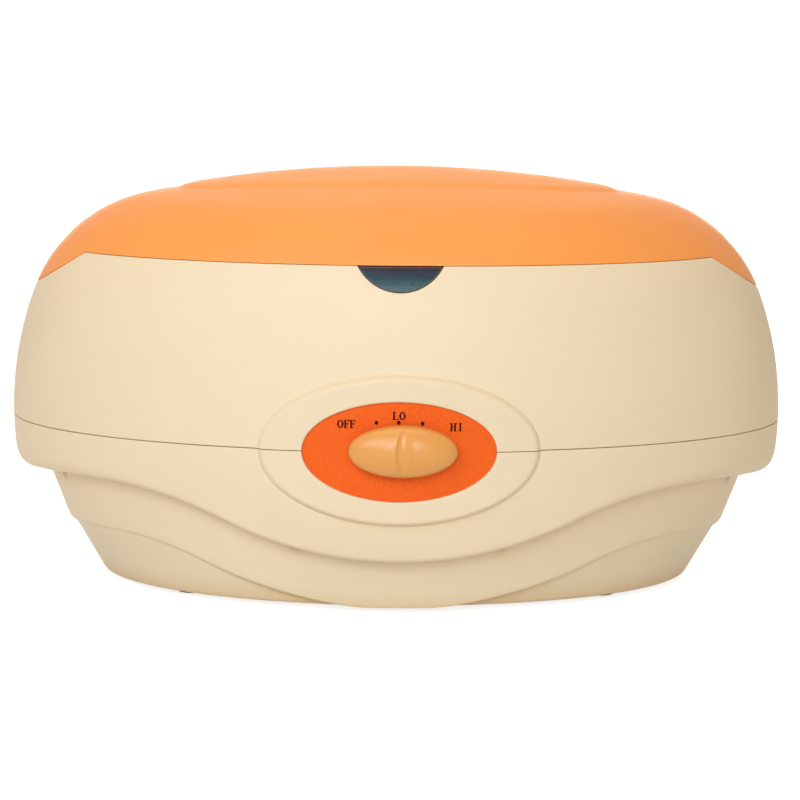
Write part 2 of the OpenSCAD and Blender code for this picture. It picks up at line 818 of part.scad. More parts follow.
module tank_gasket() {
    color(black) on_body() difference() {
        oval_rod(flange_a - 1, flange_b - 1, deck_z, deck_z + gasket_t);
        oval_rod(mouth_a, mouth_b, deck_z - over, deck_z + gasket_t + over);
    }
}

// Four clips that hook the tank under the deck, on the two axes of the oval
clip_h = 14;
clip_z = deck_low - clip_h;
clip_gap = 0.4;
clip_t = 1.5;
clip_reach = flange_w + 4;
clip_hole = clip_reach - 4.5;
clip_places = [
    [0, tank_a + tank_t], [180, tank_a + tank_t], [90, tank_b + tank_t], [270, tank_b + tank_t]
];

module tank_clamps() {
    color(steel) on_body()
        for (c = clip_places)
            rotate([0, 0, c[0]]) difference() {
                union() {
                    translate([c[1] + clip_gap, -7, clip_z]) cube([clip_t, 14, clip_h]);
                    translate([c[1] + clip_gap, -7, deck_low - clip_t]) cube([clip_reach, 14, clip_t]);
                }
                translate([c[1] + clip_hole, 0, deck_low - 3]) cylinder(r = 1.9, h = 6);
            }
}

module tank_screw_holes(z0, z1) {
    for (c = clip_places)
        rotate([0, 0, c[0]]) translate([c[1] + clip_hole, 0, z0]) cylinder(r = 1.5, h = z1 - z0);
}

module tank_screws() {
    color(steel) on_body()
        for (c = clip_places)
            rotate([0, 0, c[0]]) translate([c[1] + clip_hole, 0, deck_low - clip_t]) screw(1.4, 2.8, 1.6, 3.4);
}

// Flat heating pad pressed to the tank's floor, with holes for the two studs
module heater_plate() {
    color("tan") on_body() difference() {
        oval_rod(heater_a, heater_b, heater_low, tank_out_z);
        for (s = [-1, 1])
            translate([s * stud_x, 0, heater_low - over]) cylinder(r = stud_r + 0.4, h = heater_t + 2 * over);
    }
}

// Pressed plate that holds the pad, stiffened by a rib along its middle
module heater_clamp() {
    color(steel) on_body() difference() {
        union() {
            oval_rod(heater_a - clamp_in, heater_b - clamp_in, clamp_low, heater_low);
            translate([clamp_in - heater_a + 18, -3, clamp_low - 3])
                cube([2 * (heater_a - clamp_in - 18), 6, 3.5]);
        }
        for (s = [-1, 1]) {
            translate([s * stud_x, 0, clamp_low - 5]) cylinder(r = stud_r + 0.3, h = 8);
            translate([s * stud_x, 0, clamp_low - 5]) cylinder(r = nut_turn, h = 5);
        }
    }
}

module heater_nuts() {
    color(steel) on_body()
        for (s = [-1, 1])
            translate([s * stud_x, 0, clamp_low - 3]) difference() {
                cylinder(r = nut_turn - 1.5, h = 3, $fn = 6);
                translate([0, 0, -over]) cylinder(r = stud_r + 0.05, h = 5);
            }
}

// Felt sleeve round the tank's wall
wrap_t = 4.5;
wrap_low = tank_floor_z + tank_r + 4;
wrap_high = clip_z - 4;
module insulation_wrap() {
    color("wheat") on_body() difference() {
        tank_sleeve(tank_t + 0.3 + wrap_t, wrap_low, wrap_high);
        tank_sleeve(tank_t + 0.3, wrap_low - over, wrap_high + over);
    }
}

module tank_sleeve(t, z0, z1) {
    oval_turn(tank_a + t, tank_b + t)
        polygon([[0, z0], [tank_in_a(z0) + t, z0], [tank_in_a(z1) + t, z1], [0, z1]]);
}

// Rotary thermostat: can, threaded bush and two connection tabs
module thermostat() {
    color(steel) on_body() difference() {
        union() {
            spindle_axis(can_back) cylinder(r = can_r, h = can_t);
            spindle_axis(can_y - over) cylinder(r = bush_r, h = bush_end - can_y + over);
            for (s = [-1, 1])
                translate([knob_x + s * 7 - 3, -can_back - 2, spindle_z - can_r - 7])
                    cube([6, 0.8, 14]);
        }
        spindle_axis(spindle_start - 0.3) cylinder(r = spindle_r + spindle_play, h = far);
    }
}

module thermostat_bracket() {
    color(steel) on_body() difference() {
        translate([knob_x - bracket_w, -bracket_y, spindle_z - 12]) cube([2 * bracket_w, bracket_t, 24]);
        spindle_axis(can_y - over) cylinder(r = bush_r + 0.1, h = 6);
    }
}

module thermostat_nut() {
    color(brass) on_body() difference() {
        spindle_axis(dial_y + 0.15) cylinder(r = nut_r, h = nut_t, $fn = 6);
        spindle_axis(dial_y - over) cylinder(r = bush_r + 0.05, h = nut_t + 3);
    }
}

// Capillary sensor under the tank: a bulb on the clamp, and the tube to the can
bulb_z = floor(clamp_low - 3.5);
bulb_y = 22;
bend_r = 8;
module sensor_bulb() {
    color(brass) on_body()
        translate([knob_x - 30, -bulb_y, bulb_z]) rotate([0, 90, 0]) rotate_extrude()
            polygon([[0, 0], [2.2, 0], [3, 1.5], [3, 50], [2, 52], [1, 53], [0, 53]]);
}

// A quarter bend of round tube, from +X round to +Y about its own centre
module bend(r, tube_r) {
    rotate_extrude(angle = 90) translate([r, 0]) circle(tube_r, $fn = 24);
}

tube_r = 0.9;
module capillary_tube() {
    x_end = knob_x + 23 + bend_r;
    y_can = floor(can_back) - 4;
    color(brass) on_body() {
        translate([x_end - bend_r, -bulb_y - bend_r, bulb_z]) bend(bend_r, tube_r);
        translate([x_end, -bulb_y - bend_r, bulb_z]) rotate([90, 0, 0])
            cylinder(r = tube_r, h = y_can - bulb_y - 2 * bend_r, $fn = 24);
        translate([x_end, -y_can + bend_r, bulb_z + bend_r]) rotate([0, 90, 0]) rotate([0, 0, -90])
            bend(bend_r, tube_r);
        translate([x_end, -y_can, bulb_z + bend_r])
            cylinder(r = tube_r, h = spindle_z - bulb_z - 2 * bend_r, $fn = 24);
        translate([x_end - bend_r, -y_can, spindle_z - bend_r]) rotate([90, 0, 0])
            bend(bend_r, tube_r);
        translate([knob_x + can_r + 0.2, -y_can, spindle_z]) rotate([0, 90, 0])
            cylinder(r = tube_r, h = x_end - bend_r - knob_x - can_r - 0.2, $fn = 24);
    }
}

// Thermal fuse strapped under the heater's clamp
fuse_z = clamp_low - 2.6;
module thermal_fuse() {
    color(alu) on_body()
        translate([-10, 20, fuse_z]) rotate([0, 90, 0]) {
            cylinder(r = 2.4, h = 20);
            translate([0, 0, -9]) cylinder(r = 0.7, h = 38, $fn = 24);
        }
}

module fuse_clip() {
    color(steel) on_body() difference() {
        translate([-4, 14, fuse_z - 4]) cube([8, 12, 6.4]);
        translate([-5, 20, fuse_z]) rotate([0, 90, 0]) cylinder(r = 2.55, h = 10);
        translate([-5, 17.45, fuse_z]) cube([10, 5.1, 4]);
    }
}

// Terminal block on the base cover, with six wire entries
block_x = 30;
block_y = 42;
block_z = base_z + cover_t;
module terminal_block() {
    color("ivory") on_body() difference() {
        union() {
            translate([block_x - 18, block_y - 8, block_z]) cube([36, 16, 4]);
            for (i = [-1, 0, 1])
                translate([block_x + i * 12 - 4.5, block_y - 8, block_z]) cube([9, 16, 12]);
        }
        for (i = [-1, 0, 1]) {
            translate([block_x + i * 12, block_y - 9, block_z + 7]) rotate([-90, 0, 0]) cylinder(r = 2.2, h = 18);
            for (s = [-1, 1])
                translate([block_x + i * 12, block_y + s * 4, block_z + 7]) cylinder(r = 1.8, h = 8);
        }
    }
}

// Bundle of leads from the terminal block to the thermostat's tabs
wire_r = 1.9;
module wiring_loom() {
    x0 = block_x - 12;
    z0 = block_z + 7;
    y_up = floor(can_back) - 6;
    z_end = floor(spindle_z - can_r) - 4;
    color("dimgray") on_body() {
        translate([x0, block_y - 6, z0]) rotate([90, 0, 0])
            cylinder(r = wire_r, h = block_y - 6 + y_up - bend_r, $fn = 24);
        translate([x0, -y_up + bend_r, z0 + bend_r]) rotate([0, 90, 0]) rotate([0, 0, -90])
            bend(bend_r, wire_r);
        translate([x0, -y_up, z0 + bend_r]) cylinder(r = wire_r, h = z_end - z0 - bend_r, $fn = 24);
    }
}

// Cord gland: collar, barrel and the bore that the mains cord passes
module cord_gland() {
    color(black) on_body()
        translate([0, gland_out, gland_z]) rotate([90, 0, 0]) difference() {
            union() {
                rotate_extrude()
                    polygon([
                        [0, 0], [gland_collar_r - 1, 0], [gland_collar_r, 1],
                        [gland_collar_r, gland_collar_t], [0, gland_collar_t]
                    ]);
                cylinder(r = gland_barrel_r, h = gland_len);
            }
            translate([0, 0, -over]) cylinder(r = gland_r, h = gland_len + 2 * over);
        }
}

// Flat nut that holds the gland from inside
module gland_nut() {
    color(black) on_body()
        translate([0, gland_seat, gland_z]) rotate([90, 0, 0]) difference() {
            cylinder(r = gland_collar_r, h = 3, $fn = 6);
            translate([0, 0, -over]) cylinder(r = gland_barrel_r + 0.05, h = 5);
        }
}

module cord_clamp() {
    color(black) on_body() difference() {
        translate([-inlet_half, ledge_out - ledge_w + 1, gland_z + loose_gap / 2]) cube([2 * inlet_half, ledge_w - 2, 6.5]);
        translate([0, ledge_out - ledge_w, gland_z]) rotate([-90, 0, 0]) cylinder(r = gland_r, h = 2 * ledge_w);
        for (s = [-1, 1])
            translate([s * 10, ledge_out - ledge_w / 2, gland_z - over]) cylinder(r = 1.7, h = 12);
    }
}

module clamp_screws() {
    color(steel) on_body()
        for (s = [-1, 1])
            translate([s * 10, ledge_out - ledge_w / 2, gland_z + loose_gap / 2 + 6.5]) rotate([180, 0, 0])
                screw(1.1, 2.4, 1.5, 13);
}

// Lift-off lid: a domed shell with a raised oval crown and a locating rim
module lid() {
    color(orange) on_body() {
        difference() {
            union() {
                upper_form(lid_z - lid_dip - over);
                intersection() {
                    translate([0, 0, crown_rise]) upper_form(dome_low);
                    oval_rod(crown_a, crown_b, dome_low, body_h + over);
                }
            }
            inset(wall_t) translate([0, 0, -wall_t]) upper_form(lid_z - lid_dip - 2 * over);
            under_lid_line(lid_gap);
        }
        intersection() {
            difference() {
                oval_rod(rim_a, rim_b, rim_z, body_h);
                oval_rod(rim_a - rim_t, rim_b - rim_t, rim_z - over, body_h + over);
            }
            inset(wall_t / 2) translate([0, 0, -wall_t / 2]) upper_form(rim_z - over);
        }
    }
}

// Domed oval cap on an upright rim, drawn along its axis
module knob_cap(dome_h) {
    oval_turn(knob_a, knob_b) {
        band(0, knob_a, 0, knob_rim);
        intersection() {
            translate([0, knob_rim]) scale([1, dome_h / knob_a]) circle(knob_a);
            band(0, knob_a, knob_rim, far);
        }
    }
}

// Oval control knob: a domed cap with a pointed grip ridge and a hollow for the nut
module control_knob() {
    dome_h = knob_t - knob_rim;
    ridge_r = (pow(knob_b, 2) + pow(ridge_w / 2, 2)) / ridge_w;
    color(knob_orange) on_body() difference() {
        spindle_axis(knob_back) {
            knob_cap(dome_h);
            intersection() {
                knob_cap(dome_h + ridge_out);
                linear_extrude(far) intersection_for(s = [-1, 1])
                    translate([s * (ridge_r - ridge_w / 2), 0]) circle(ridge_r, $fn = turn_fn);
            }
        }
        spindle_axis(knob_back - over) cylinder(r = well_r, h = knob_seat - knob_back + over);
        spindle_axis(knob_back) cylinder(r = spindle_r, h = spindle_end - knob_back);
    }
}

// Spindle that turns in the thermostat's bush
module control_spindle() {
    color(steel) on_body() spindle_axis(spindle_start) cylinder(r = spindle_r, h = spindle_end - spindle_start);
}

// Spring ring between the spindle and the knob's well
module knob_clip() {
    color(steel) on_body() difference() {
        spindle_axis(bush_end + 0.3) cylinder(r = spindle_r + 2, h = knob_seat - bush_end - 0.3);
        spindle_axis(bush_end - over) cylinder(r = spindle_r, h = 6);
    }
}

// Slotted oval grille that keeps hands off the tank's hot floor
module protective_grille() {
    pitch = slot_w + bar_w;
    color("white") on_body() {
        difference() {
            oval_rod(grille_a, grille_b, grille_z, grille_z + grille_t);
            intersection() {
                oval_rod(grille_a - grille_rim, grille_b - grille_rim, grille_z - over, grille_z + grille_t + over);
                for (i = [0 : slot_n - 1])
                    for (s = [-1, 1])
                        translate([
                            (i - (slot_n - 1) / 2) * pitch - slot_w / 2, s > 0 ? bar_w / 2 : -far - bar_w / 2, grille_z - 2 * over
                        ])
                            cube([slot_w, far, grille_t + 4 * over]);
            }
        }
        for (sx = [-1, 1])
            for (sy = [-1, 1])
                translate([sx * grille_a * 0.62, sy * grille_b * 0.66, grille_z - grille_foot])
                    cylinder(r = 4, h = grille_foot + over);
    }
}

upper_housing();
lower_housing();
base_cover();
rubber_feet();
base_screws();
housing_screws();
dial_plate();
indicator_lens();
power_lamp();
ready_lamp();
lamp_holder();
inner_tank();
tank_gasket();
tank_clamps();
tank_screws();
heater_plate();
heater_clamp();
heater_nuts();
insulation_wrap();
thermostat();
thermostat_bracket();
thermostat_nut();
sensor_bulb();
capillary_tube();
thermal_fuse();
fuse_clip();
terminal_block();
wiring_loom();
inlet_block();
cord_gland();
gland_nut();
cord_clamp();
clamp_screws();
lid();
control_knob();
control_spindle();
knob_clip();
protective_grille();
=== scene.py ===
"""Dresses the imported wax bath: moulded shells, lid, dial, knob and lens as meshes of their own,
and a procedural material on every piece. Lengths are in millimetres until a mesh is made."""

import json
import math

import bmesh
import bpy
import numpy as np
from mathutils import Matrix, Vector


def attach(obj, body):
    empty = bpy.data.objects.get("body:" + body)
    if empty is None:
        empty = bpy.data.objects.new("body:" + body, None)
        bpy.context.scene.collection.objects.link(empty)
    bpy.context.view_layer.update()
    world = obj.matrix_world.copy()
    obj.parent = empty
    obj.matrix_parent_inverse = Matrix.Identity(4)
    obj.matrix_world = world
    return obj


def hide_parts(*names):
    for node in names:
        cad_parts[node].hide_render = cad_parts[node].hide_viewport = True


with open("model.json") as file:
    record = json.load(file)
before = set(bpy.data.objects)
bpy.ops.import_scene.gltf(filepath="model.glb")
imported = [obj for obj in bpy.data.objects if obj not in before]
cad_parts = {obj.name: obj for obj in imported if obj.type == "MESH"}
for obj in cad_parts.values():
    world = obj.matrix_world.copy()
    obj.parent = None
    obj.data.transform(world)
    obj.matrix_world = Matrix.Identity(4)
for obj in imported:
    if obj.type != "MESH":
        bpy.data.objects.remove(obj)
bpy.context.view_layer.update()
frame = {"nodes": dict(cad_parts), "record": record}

# Sizes, as in the CAD source unless a form is softer here

MID_Y = 8.05
HALF_W, HALF_D = 193.0, 119.5
ASPECT = HALF_D / HALF_W
WALL_T = 2.5
WALL_C, WALL_R = (23.0, 84.0), 170.0
SHOULDER_R = 75.0
BODY_H, CROWN_RISE = 206.0, 1.0
DOME_R = 615.0
DOME_C = (0.0, BODY_H - CROWN_RISE - DOME_R)
SEAM_LOW, SEAM_HIGH, SEAM_Z, SEAM_SOFT = 81.82, 82.18, 82.0, 0.45
TONGUE_T, TONGUE_TOP, TONGUE_LOW, TONGUE_GAP, TONGUE_SOFT = 1.5, 86.0, 76.0, 0.15, 0.3
LID_Z, LID_DIP, LID_FLAT, LID_END, LID_GAP = 165.8, 18.6, 151.5, 181.0, 0.2
CROWN_A, CROWN_B = 110.0, 52.0
DECK_Z, DECK_T = 143.8, 3.0
MOUTH_A, MOUTH_B = 151.5, 87.5
BASE_Z = 3.0
SHELF_Z = 63.0
EDGE_SOFT, LID_SOFT, BASE_SOFT = 0.5, 0.7, 1.4
SKIRT_ROUND, SKIRT_ROUND_SIDE, SKIRT_UNDER = 3.2, 10.8, 11.6
TIER2_ROUND, TIER2_ROUND_MID, TIER2_ROUND_SIDE = 0.6, 1.6, 2.6
TIER2_FILLET, TIER3_FILLET = 2.2, 1.6
RIM_T, RIM_GAP, RIM_DEEP, RIM_SOFT = 2.0, 0.6, 6.0, 0.4
WAVE1 = 28.4, 60.5, 193.0, 150.0
WAVE2 = 2.4, 32.4, 225.0, 105.0
TIER2_IN, TIER2_LEAN = 16.0, math.radians(20.5)
TIER3_IN, TIER3_LEAN = 28.0, math.radians(30)
BOSS_A, BOSS_B, BOSS_Y = 64.5, 34.5, 121.5
BOSS_SOFT, BOSS_SINK, HOLE_SOFT = 2.3, 0.12, 0.7
DIAL_A, DIAL_B, DIAL_Y, DIAL_BACK = 44.7, 23.1, 120.0, 118.5
DIAL_GAP = 0.04
KNOB_X, KNOB_Z, KNOB_A, KNOB_B = 1.6, 83.0, 25.0, 12.0
KNOB_BACK, KNOB_T, KNOB_RIM = 122.0, 11.5, 3.2
WELL_R, WELL_DEEP, BORE_R, BORE_DEEP = 10.0, 2.4, 3.05, 7.6
TURN = 720
WALL_N, SHOULDER_N, DOME_N, SIDE_N = 300, 400, 500, 900


def wall_a(z):
    """Half width of the wall, from the skirt up to the shoulder."""
    return WALL_C[0] + np.sqrt(WALL_R ** 2 - (z - WALL_C[1]) ** 2)


def wall_slope(z):
    """How fast the wall's half width grows with height."""
    return (WALL_C[1] - z) / np.sqrt(WALL_R ** 2 - (z - WALL_C[1]) ** 2)


def tier2_a(z):
    return HALF_W - TIER2_IN - (WAVE1[1] - z) * math.tan(TIER2_LEAN)


def tier3_a(z):
    return HALF_W - TIER3_IN - (WAVE2[1] - z) * math.tan(TIER3_LEAN)


def shoulder_centre():
    c0, c1 = Vector(WALL_C), Vector(DOME_C)
    r0, r1 = WALL_R - SHOULDER_R, DOME_R - SHOULDER_R
    base = (c1 - c0).length
    along = (r0 ** 2 - r1 ** 2 + base ** 2) / (2 * base)
    aside = math.sqrt(r0 ** 2 - along ** 2)
    d = (c1 - c0) / base
    return c0 + d * along + Vector((-d.y, d.x)) * aside, r0, r1


SHOULDER_C, FROM_WALL, FROM_DOME = shoulder_centre()
WALL_TOP = WALL_C[1] + WALL_R * (SHOULDER_C.y - WALL_C[1]) / FROM_WALL
DOME_LOW = DOME_C[1] + DOME_R * (SHOULDER_C.y - DOME_C[1]) / FROM_DOME


def upper_outline():
    """Dense outline (half width, height) from the seam over the shoulder to the top's middle."""
    z = np.linspace(SEAM_HIGH, WALL_TOP, WALL_N)
    pts = [np.column_stack([wall_a(z), z])]
    t0 = math.atan2(WALL_TOP - SHOULDER_C.y, math.sqrt(SHOULDER_R ** 2 - (WALL_TOP - SHOULDER_C.y) ** 2))
    t1 = math.asin((DOME_LOW - SHOULDER_C.y) / SHOULDER_R)
    t = np.linspace(t0, t1, SHOULDER_N)[1:]
    shoulder = SHOULDER_C.x + SHOULDER_R * np.cos(t), SHOULDER_C.y + SHOULDER_R * np.sin(t)
    pts.append(np.column_stack(shoulder))
    a = np.linspace(pts[-1][-1, 0], 0, DOME_N)[1:]
    pts.append(np.column_stack([a, DOME_C[1] + np.sqrt(DOME_R ** 2 - a ** 2)]))
    return np.vstack(pts)


OUTLINE = upper_outline()
ALONG = np.concatenate([[0], np.cumsum(np.hypot(*np.diff(OUTLINE, axis=0).T))])


def outline_at(s):
    """Half width and height, s along the outline."""
    return np.interp(s, ALONG, OUTLINE[:, 0]), np.interp(s, ALONG, OUTLINE[:, 1])


def along_of_a(a):
    """How far along the outline half width a lies, over the shoulder."""
    top = OUTLINE[:, 1] > 120
    return np.interp(-a, -OUTLINE[top, 0], ALONG[top])


def along_of_z(z):
    """How far along the outline height z lies, up to the dome's outer part."""
    return np.interp(z, OUTLINE[:SIDE_N, 1], ALONG[:SIDE_N])


def over_z(a):
    """Height of the shoulder or dome at half width a."""
    return np.interp(-a, -OUTLINE[WALL_N:, 0], OUTLINE[WALL_N:, 1])


def outer_a(z):
    """Half width of the outline at height z."""
    return np.interp(z, OUTLINE[:, 1], OUTLINE[:, 0])


def wall_y(x, z):
    """Depth of the outer wall at the front, at x and height z."""
    a = np.where(z < SEAM_HIGH, wall_a(np.minimum(z, SEAM_HIGH)), outer_a(z))
    return ASPECT * np.sqrt(np.maximum(a ** 2 - x ** 2, 0))


def lid_line(x):
    """Height of the lid's edge: level in front, lower at both ends."""
    return np.interp(np.abs(x), [0, LID_FLAT, LID_END, 400], [LID_Z, LID_Z, LID_Z - LID_DIP, LID_Z - LID_DIP])


def wave(x, low, high, r_low, r_high):
    """Wavy edge of tangent arcs: a hollow in the middle between two crests."""
    sweep = math.acos(1 - (high - low) / (r_low + r_high))
    turn, crest = r_low * math.sin(sweep), (r_low + r_high) * math.sin(sweep)
    x = np.abs(x)
    hollow = low + r_low - np.sqrt(r_low ** 2 - np.minimum(x, turn) ** 2)
    over = high - r_high + np.sqrt(r_high ** 2 - np.clip(x - crest, -r_high * 0.99, r_high * 0.99) ** 2)
    return np.where(x < turn, hollow, over)


def wave1(x):
    return wave(x, *WAVE1)


def wave2(x):
    return wave(x, *WAVE2)


def full_turn(n):
    return np.arange(n) * 2 * math.pi / n


def angles(n, snaps=()):
    """n angles round the oval, the nearest moved onto each wanted one and its mirror images."""
    t = full_turn(n)
    for s in snaps:
        for w in (s, math.pi - s, math.pi + s, 2 * math.pi - s):
            t[np.argmin(np.abs(t - w))] = w
    return t


# Mesh helpers

def add_object(name, data):
    obj = bpy.data.objects.new(name, data)
    bpy.context.scene.collection.objects.link(obj)
    return obj


def clean(mesh, merge, outwards=False):
    """Merges points nearer than merge metres, and turns the faces outwards if asked."""
    bm = bmesh.new()
    bm.from_mesh(mesh)
    bmesh.ops.remove_doubles(bm, verts=bm.verts, dist=merge)
    bmesh.ops.dissolve_degenerate(bm, dist=1e-6, edges=bm.edges)
    if outwards:
        bmesh.ops.recalc_face_normals(bm, faces=bm.faces)
    bm.to_mesh(mesh)
    bm.free()


def new_object(name, verts, faces, sharp=32.0, merge=0.004):
    """Mesh object from millimetre points, faces turned outwards, smooth with sharp edges kept."""
    mesh = bpy.data.meshes.new(name)
    mesh.from_pydata((np.asarray(verts, float) * 0.001).tolist(), [], [list(map(int, f)) for f in faces])
    clean(mesh, merge * 0.001, True)
    obj = add_object(name, mesh)
    shade(obj, sharp)
    return obj


def shade(obj, sharp=32.0):
    mesh = obj.data
    mesh.polygons.foreach_set("use_smooth", [True] * len(mesh.polygons))
    mesh.set_sharp_from_angle(angle=math.radians(sharp))
    mesh.update()


def loop_faces(rows, cols, wrap_rows=False, wrap_cols=True, start=0):
    faces = []
    for r in range(rows if wrap_rows else rows - 1):
        r2 = (r + 1) % rows
        for c in range(cols if wrap_cols else cols - 1):
            c2 = (c + 1) % cols
            low, high = start + r * cols, start + r2 * cols
            faces.append((low + c, low + c2, high + c2, high + c))
    return faces


def fan(start, n, tip):
    """Faces from a ring of n points to one point."""
    return [(start + c, start + (c + 1) % n, tip) for c in range(n)]


def ring_rows(rows):
    """Rows of (x, y, z) arrays, stacked to points; y is given from the housing's middle."""
    return np.vstack([np.column_stack([x, y + MID_Y, z]) for x, y, z in rows])


def oval_row(a, z, t, b=None):
    b = a * ASPECT if b is None else b
    z = z + 0 * t
    return a * np.cos(t), b * np.sin(t), z


def inner_row(a, z, t):
    """Row on a wall's inner face, WALL_T inside the oval of half width a."""
    return (a * (1 - WALL_T / HALF_W) * np.cos(t), a * ASPECT * (1 - WALL_T / HALF_D) * np.sin(t), z + 0 * t)


def corner(p, c, q, n):
    """Rows of a rounded corner from row p to row q, with its sharp point at row c."""
    out = []
    for f in np.linspace(0, 1, n):
        out.append(tuple(u * (1 - f) ** 2 + 2 * v * f * (1 - f) + w * f * f for u, v, w in zip(p, c, q)))
    return out


def cut(obj, *cutters, sharp=32.0):
    """Takes closed solids out of obj and leaves a clean mesh."""
    for k in cutters:
        m = obj.modifiers.new("cut", "BOOLEAN")
        m.operation, m.solver, m.object = "DIFFERENCE", "EXACT", k
    bpy.context.view_layer.update()
    mesh = bpy.data.meshes.new_from_object(obj.evaluated_get(bpy.context.evaluated_depsgraph_get()))
    obj.modifiers.clear()
    old, obj.data = obj.data, mesh
    bpy.data.meshes.remove(old)
    mesh.name = obj.name
    clean(mesh, 4e-6)
    shade(obj, sharp)
    return obj


def tube_solid(name, outline, axis, start, end):
    """Closed prism of a flat outline (two columns) along axis 1 (Y) or 2 (Z), in frame millimetres."""
    n = len(outline)
    u, v = np.asarray(outline, float).T
    rows = []
    for s in (start, end):
        rows.append(np.column_stack([u, np.full(n, s), v] if axis == 1 else [u, v, np.full(n, s)]))
    faces = loop_faces(2, n) + [tuple(range(n))[::-1], tuple(range(n, 2 * n))]
    return new_object(name, np.vstack(rows), faces)


def circle_points(x, y, a, b=None, n=48):
    t = full_turn(n)
    return np.column_stack([x + a * np.cos(t), y + (b or a) * np.sin(t)])


def rectangle(half, low, high):
    """Corners of a rectangle, as wide on both sides of x = 0."""
    return [(-half, low), (half, low), (half, high), (-half, high)]


def drop(*objs):
    for o in objs:
        mesh = o.data
        bpy.data.objects.remove(o)
        bpy.data.meshes.remove(mesh)


def settle(name, bm):
    """Object from a bmesh, which is then freed."""
    mesh = bpy.data.meshes.new(name)
    bm.to_mesh(mesh)
    bm.free()
    obj = add_object(name, mesh)
    shade(obj)
    return obj


def join(name, objs):
    """One object from several closed meshes."""
    bm = bmesh.new()
    for o in objs:
        bm.from_mesh(o.data)
    drop(*objs)
    return settle(name, bm)


# Lower shell

def ray_of(t):
    """Length of the oval's ray at each angle, as a share of its half width."""
    return np.sqrt(np.cos(t) ** 2 + (ASPECT * np.sin(t)) ** 2)


def solve_height(fn_a, fn_z, t, z0):
    """Height at which the wall fn_a meets the wavy edge fn_z, for each angle."""
    z = np.full_like(t, z0)
    for _ in range(60):
        z = 0.5 * z + 0.5 * fn_z(fn_a(z) * np.cos(t))
    return z


def lip(fn_a, slope_a, fn_wave, t, z_c, down, under, low):
    """Rounded lower edge of a wall: wall row, corner row and underside row."""
    ray = ray_of(t)
    z_s = z_c + down
    a_s = fn_a(z_s)
    a_c = a_s + (z_c - z_s) * slope_a(z_s)
    a_e = a_c - under / ray
    z_e = np.maximum(fn_wave(a_e * np.cos(t)), low)
    return oval_row(a_s, z_s, t), oval_row(a_c, z_c, t), oval_row(a_e, z_e, t), a_e


def nook(fn_a, fn_wave, t, z, fillet, low):
    """Fillet between an underside and the wall fn_a, which meet at height z, and its outer half width."""
    a = fn_a(z)
    a_out = a + fillet / ray_of(t)
    start = oval_row(a_out, np.maximum(fn_wave(a_out * np.cos(t)), low), t)
    end = oval_row(fn_a(z - fillet), z - fillet, t)
    return corner(start, oval_row(a, z, t), end, 4), a_out


def wall_rows(fn_a, z_from, z_to, t, n):
    """Rows of the wall fn_a between two heights that have rows already."""
    heights = [z_from + (z_to - z_from) * f for f in np.linspace(0, 1, n)[1:-1]]
    return [oval_row(fn_a(z), z, t) for z in heights]


def skirt_rows(t, side):
    """Soft edge at the seam, the skirt's wall and its lip, and the half width where the lip ends."""
    top, a = SEAM_LOW - SEAM_SOFT, wall_a(SEAM_LOW)
    rows = corner(oval_row(a - SEAM_SOFT, SEAM_LOW, t), oval_row(a, SEAM_LOW, t),
                  oval_row(wall_a(top), top, t), 4)
    z = solve_height(wall_a, wave1, t, 45.0)
    down = SKIRT_ROUND + SKIRT_ROUND_SIDE * side ** 2
    start, tip, end, a_end = lip(wall_a, wall_slope, wave1, t, z, down,
                                 np.minimum(down * 0.95, SKIRT_UNDER), 0)
    return rows + wall_rows(wall_a, top, start[2], t, 30) + corner(start, tip, end, 9), a_end


def tier2_rows(t, side, a_from, a_next):
    """Underside of the skirt, the second tier and its lip, its half width there and the room under it."""
    z_top = solve_height(tier2_a, wave1, t, 45.0)
    fillet, a_fillet = nook(tier2_a, wave1, t, z_top, TIER2_FILLET, 0)
    rows = []
    for f in (0.33, 0.66):
        a = a_from * (1 - f) + a_fillet * f
        rows.append(oval_row(a, wave1(a * np.cos(t)), t))
    z = np.maximum(solve_height(tier2_a, wave2, t, 20.0), BASE_Z)
    down = TIER2_ROUND + (TIER2_ROUND_MID + TIER2_ROUND_SIDE * side) * np.clip((z - BASE_Z) / 6.0, 0, 1)
    slope = math.tan(TIER2_LEAN)
    room = np.maximum(tier2_a(z) - a_next, 0.2) * ray_of(t)
    start, tip, end, a_end = lip(tier2_a, lambda z: slope, wave2, t, z, down,
                                 np.minimum(down * 0.95, 0.55 * room), BASE_Z)
    rows += fillet + wall_rows(tier2_a, z_top - TIER2_FILLET, start[2], t, 18) + corner(start, tip, end, 7)
    return rows, a_end, room


def tier3_rows(t, z_top, a_from, room):
    """Underside of the second tier, then the third tier down to the base."""
    size = np.minimum(np.minimum(TIER3_FILLET, 0.5 * (z_top - BASE_Z)), 0.35 * room)
    fillet, a_fillet = nook(tier3_a, wave2, t, z_top, size, BASE_Z + 0.05)
    a = 0.5 * (a_from + a_fillet)
    rows = [oval_row(a, np.maximum(wave2(a * np.cos(t)), BASE_Z), t)] + fillet
    e = np.minimum(BASE_SOFT, 0.4 * (z_top - BASE_Z))
    rows += wall_rows(tier3_a, z_top - size, BASE_Z + e, t, 12)
    return rows + corner(oval_row(tier3_a(BASE_Z + e), BASE_Z + e, t), oval_row(tier3_a(BASE_Z), BASE_Z, t),
                         oval_row(tier3_a(BASE_Z) - e, BASE_Z, t), 4)


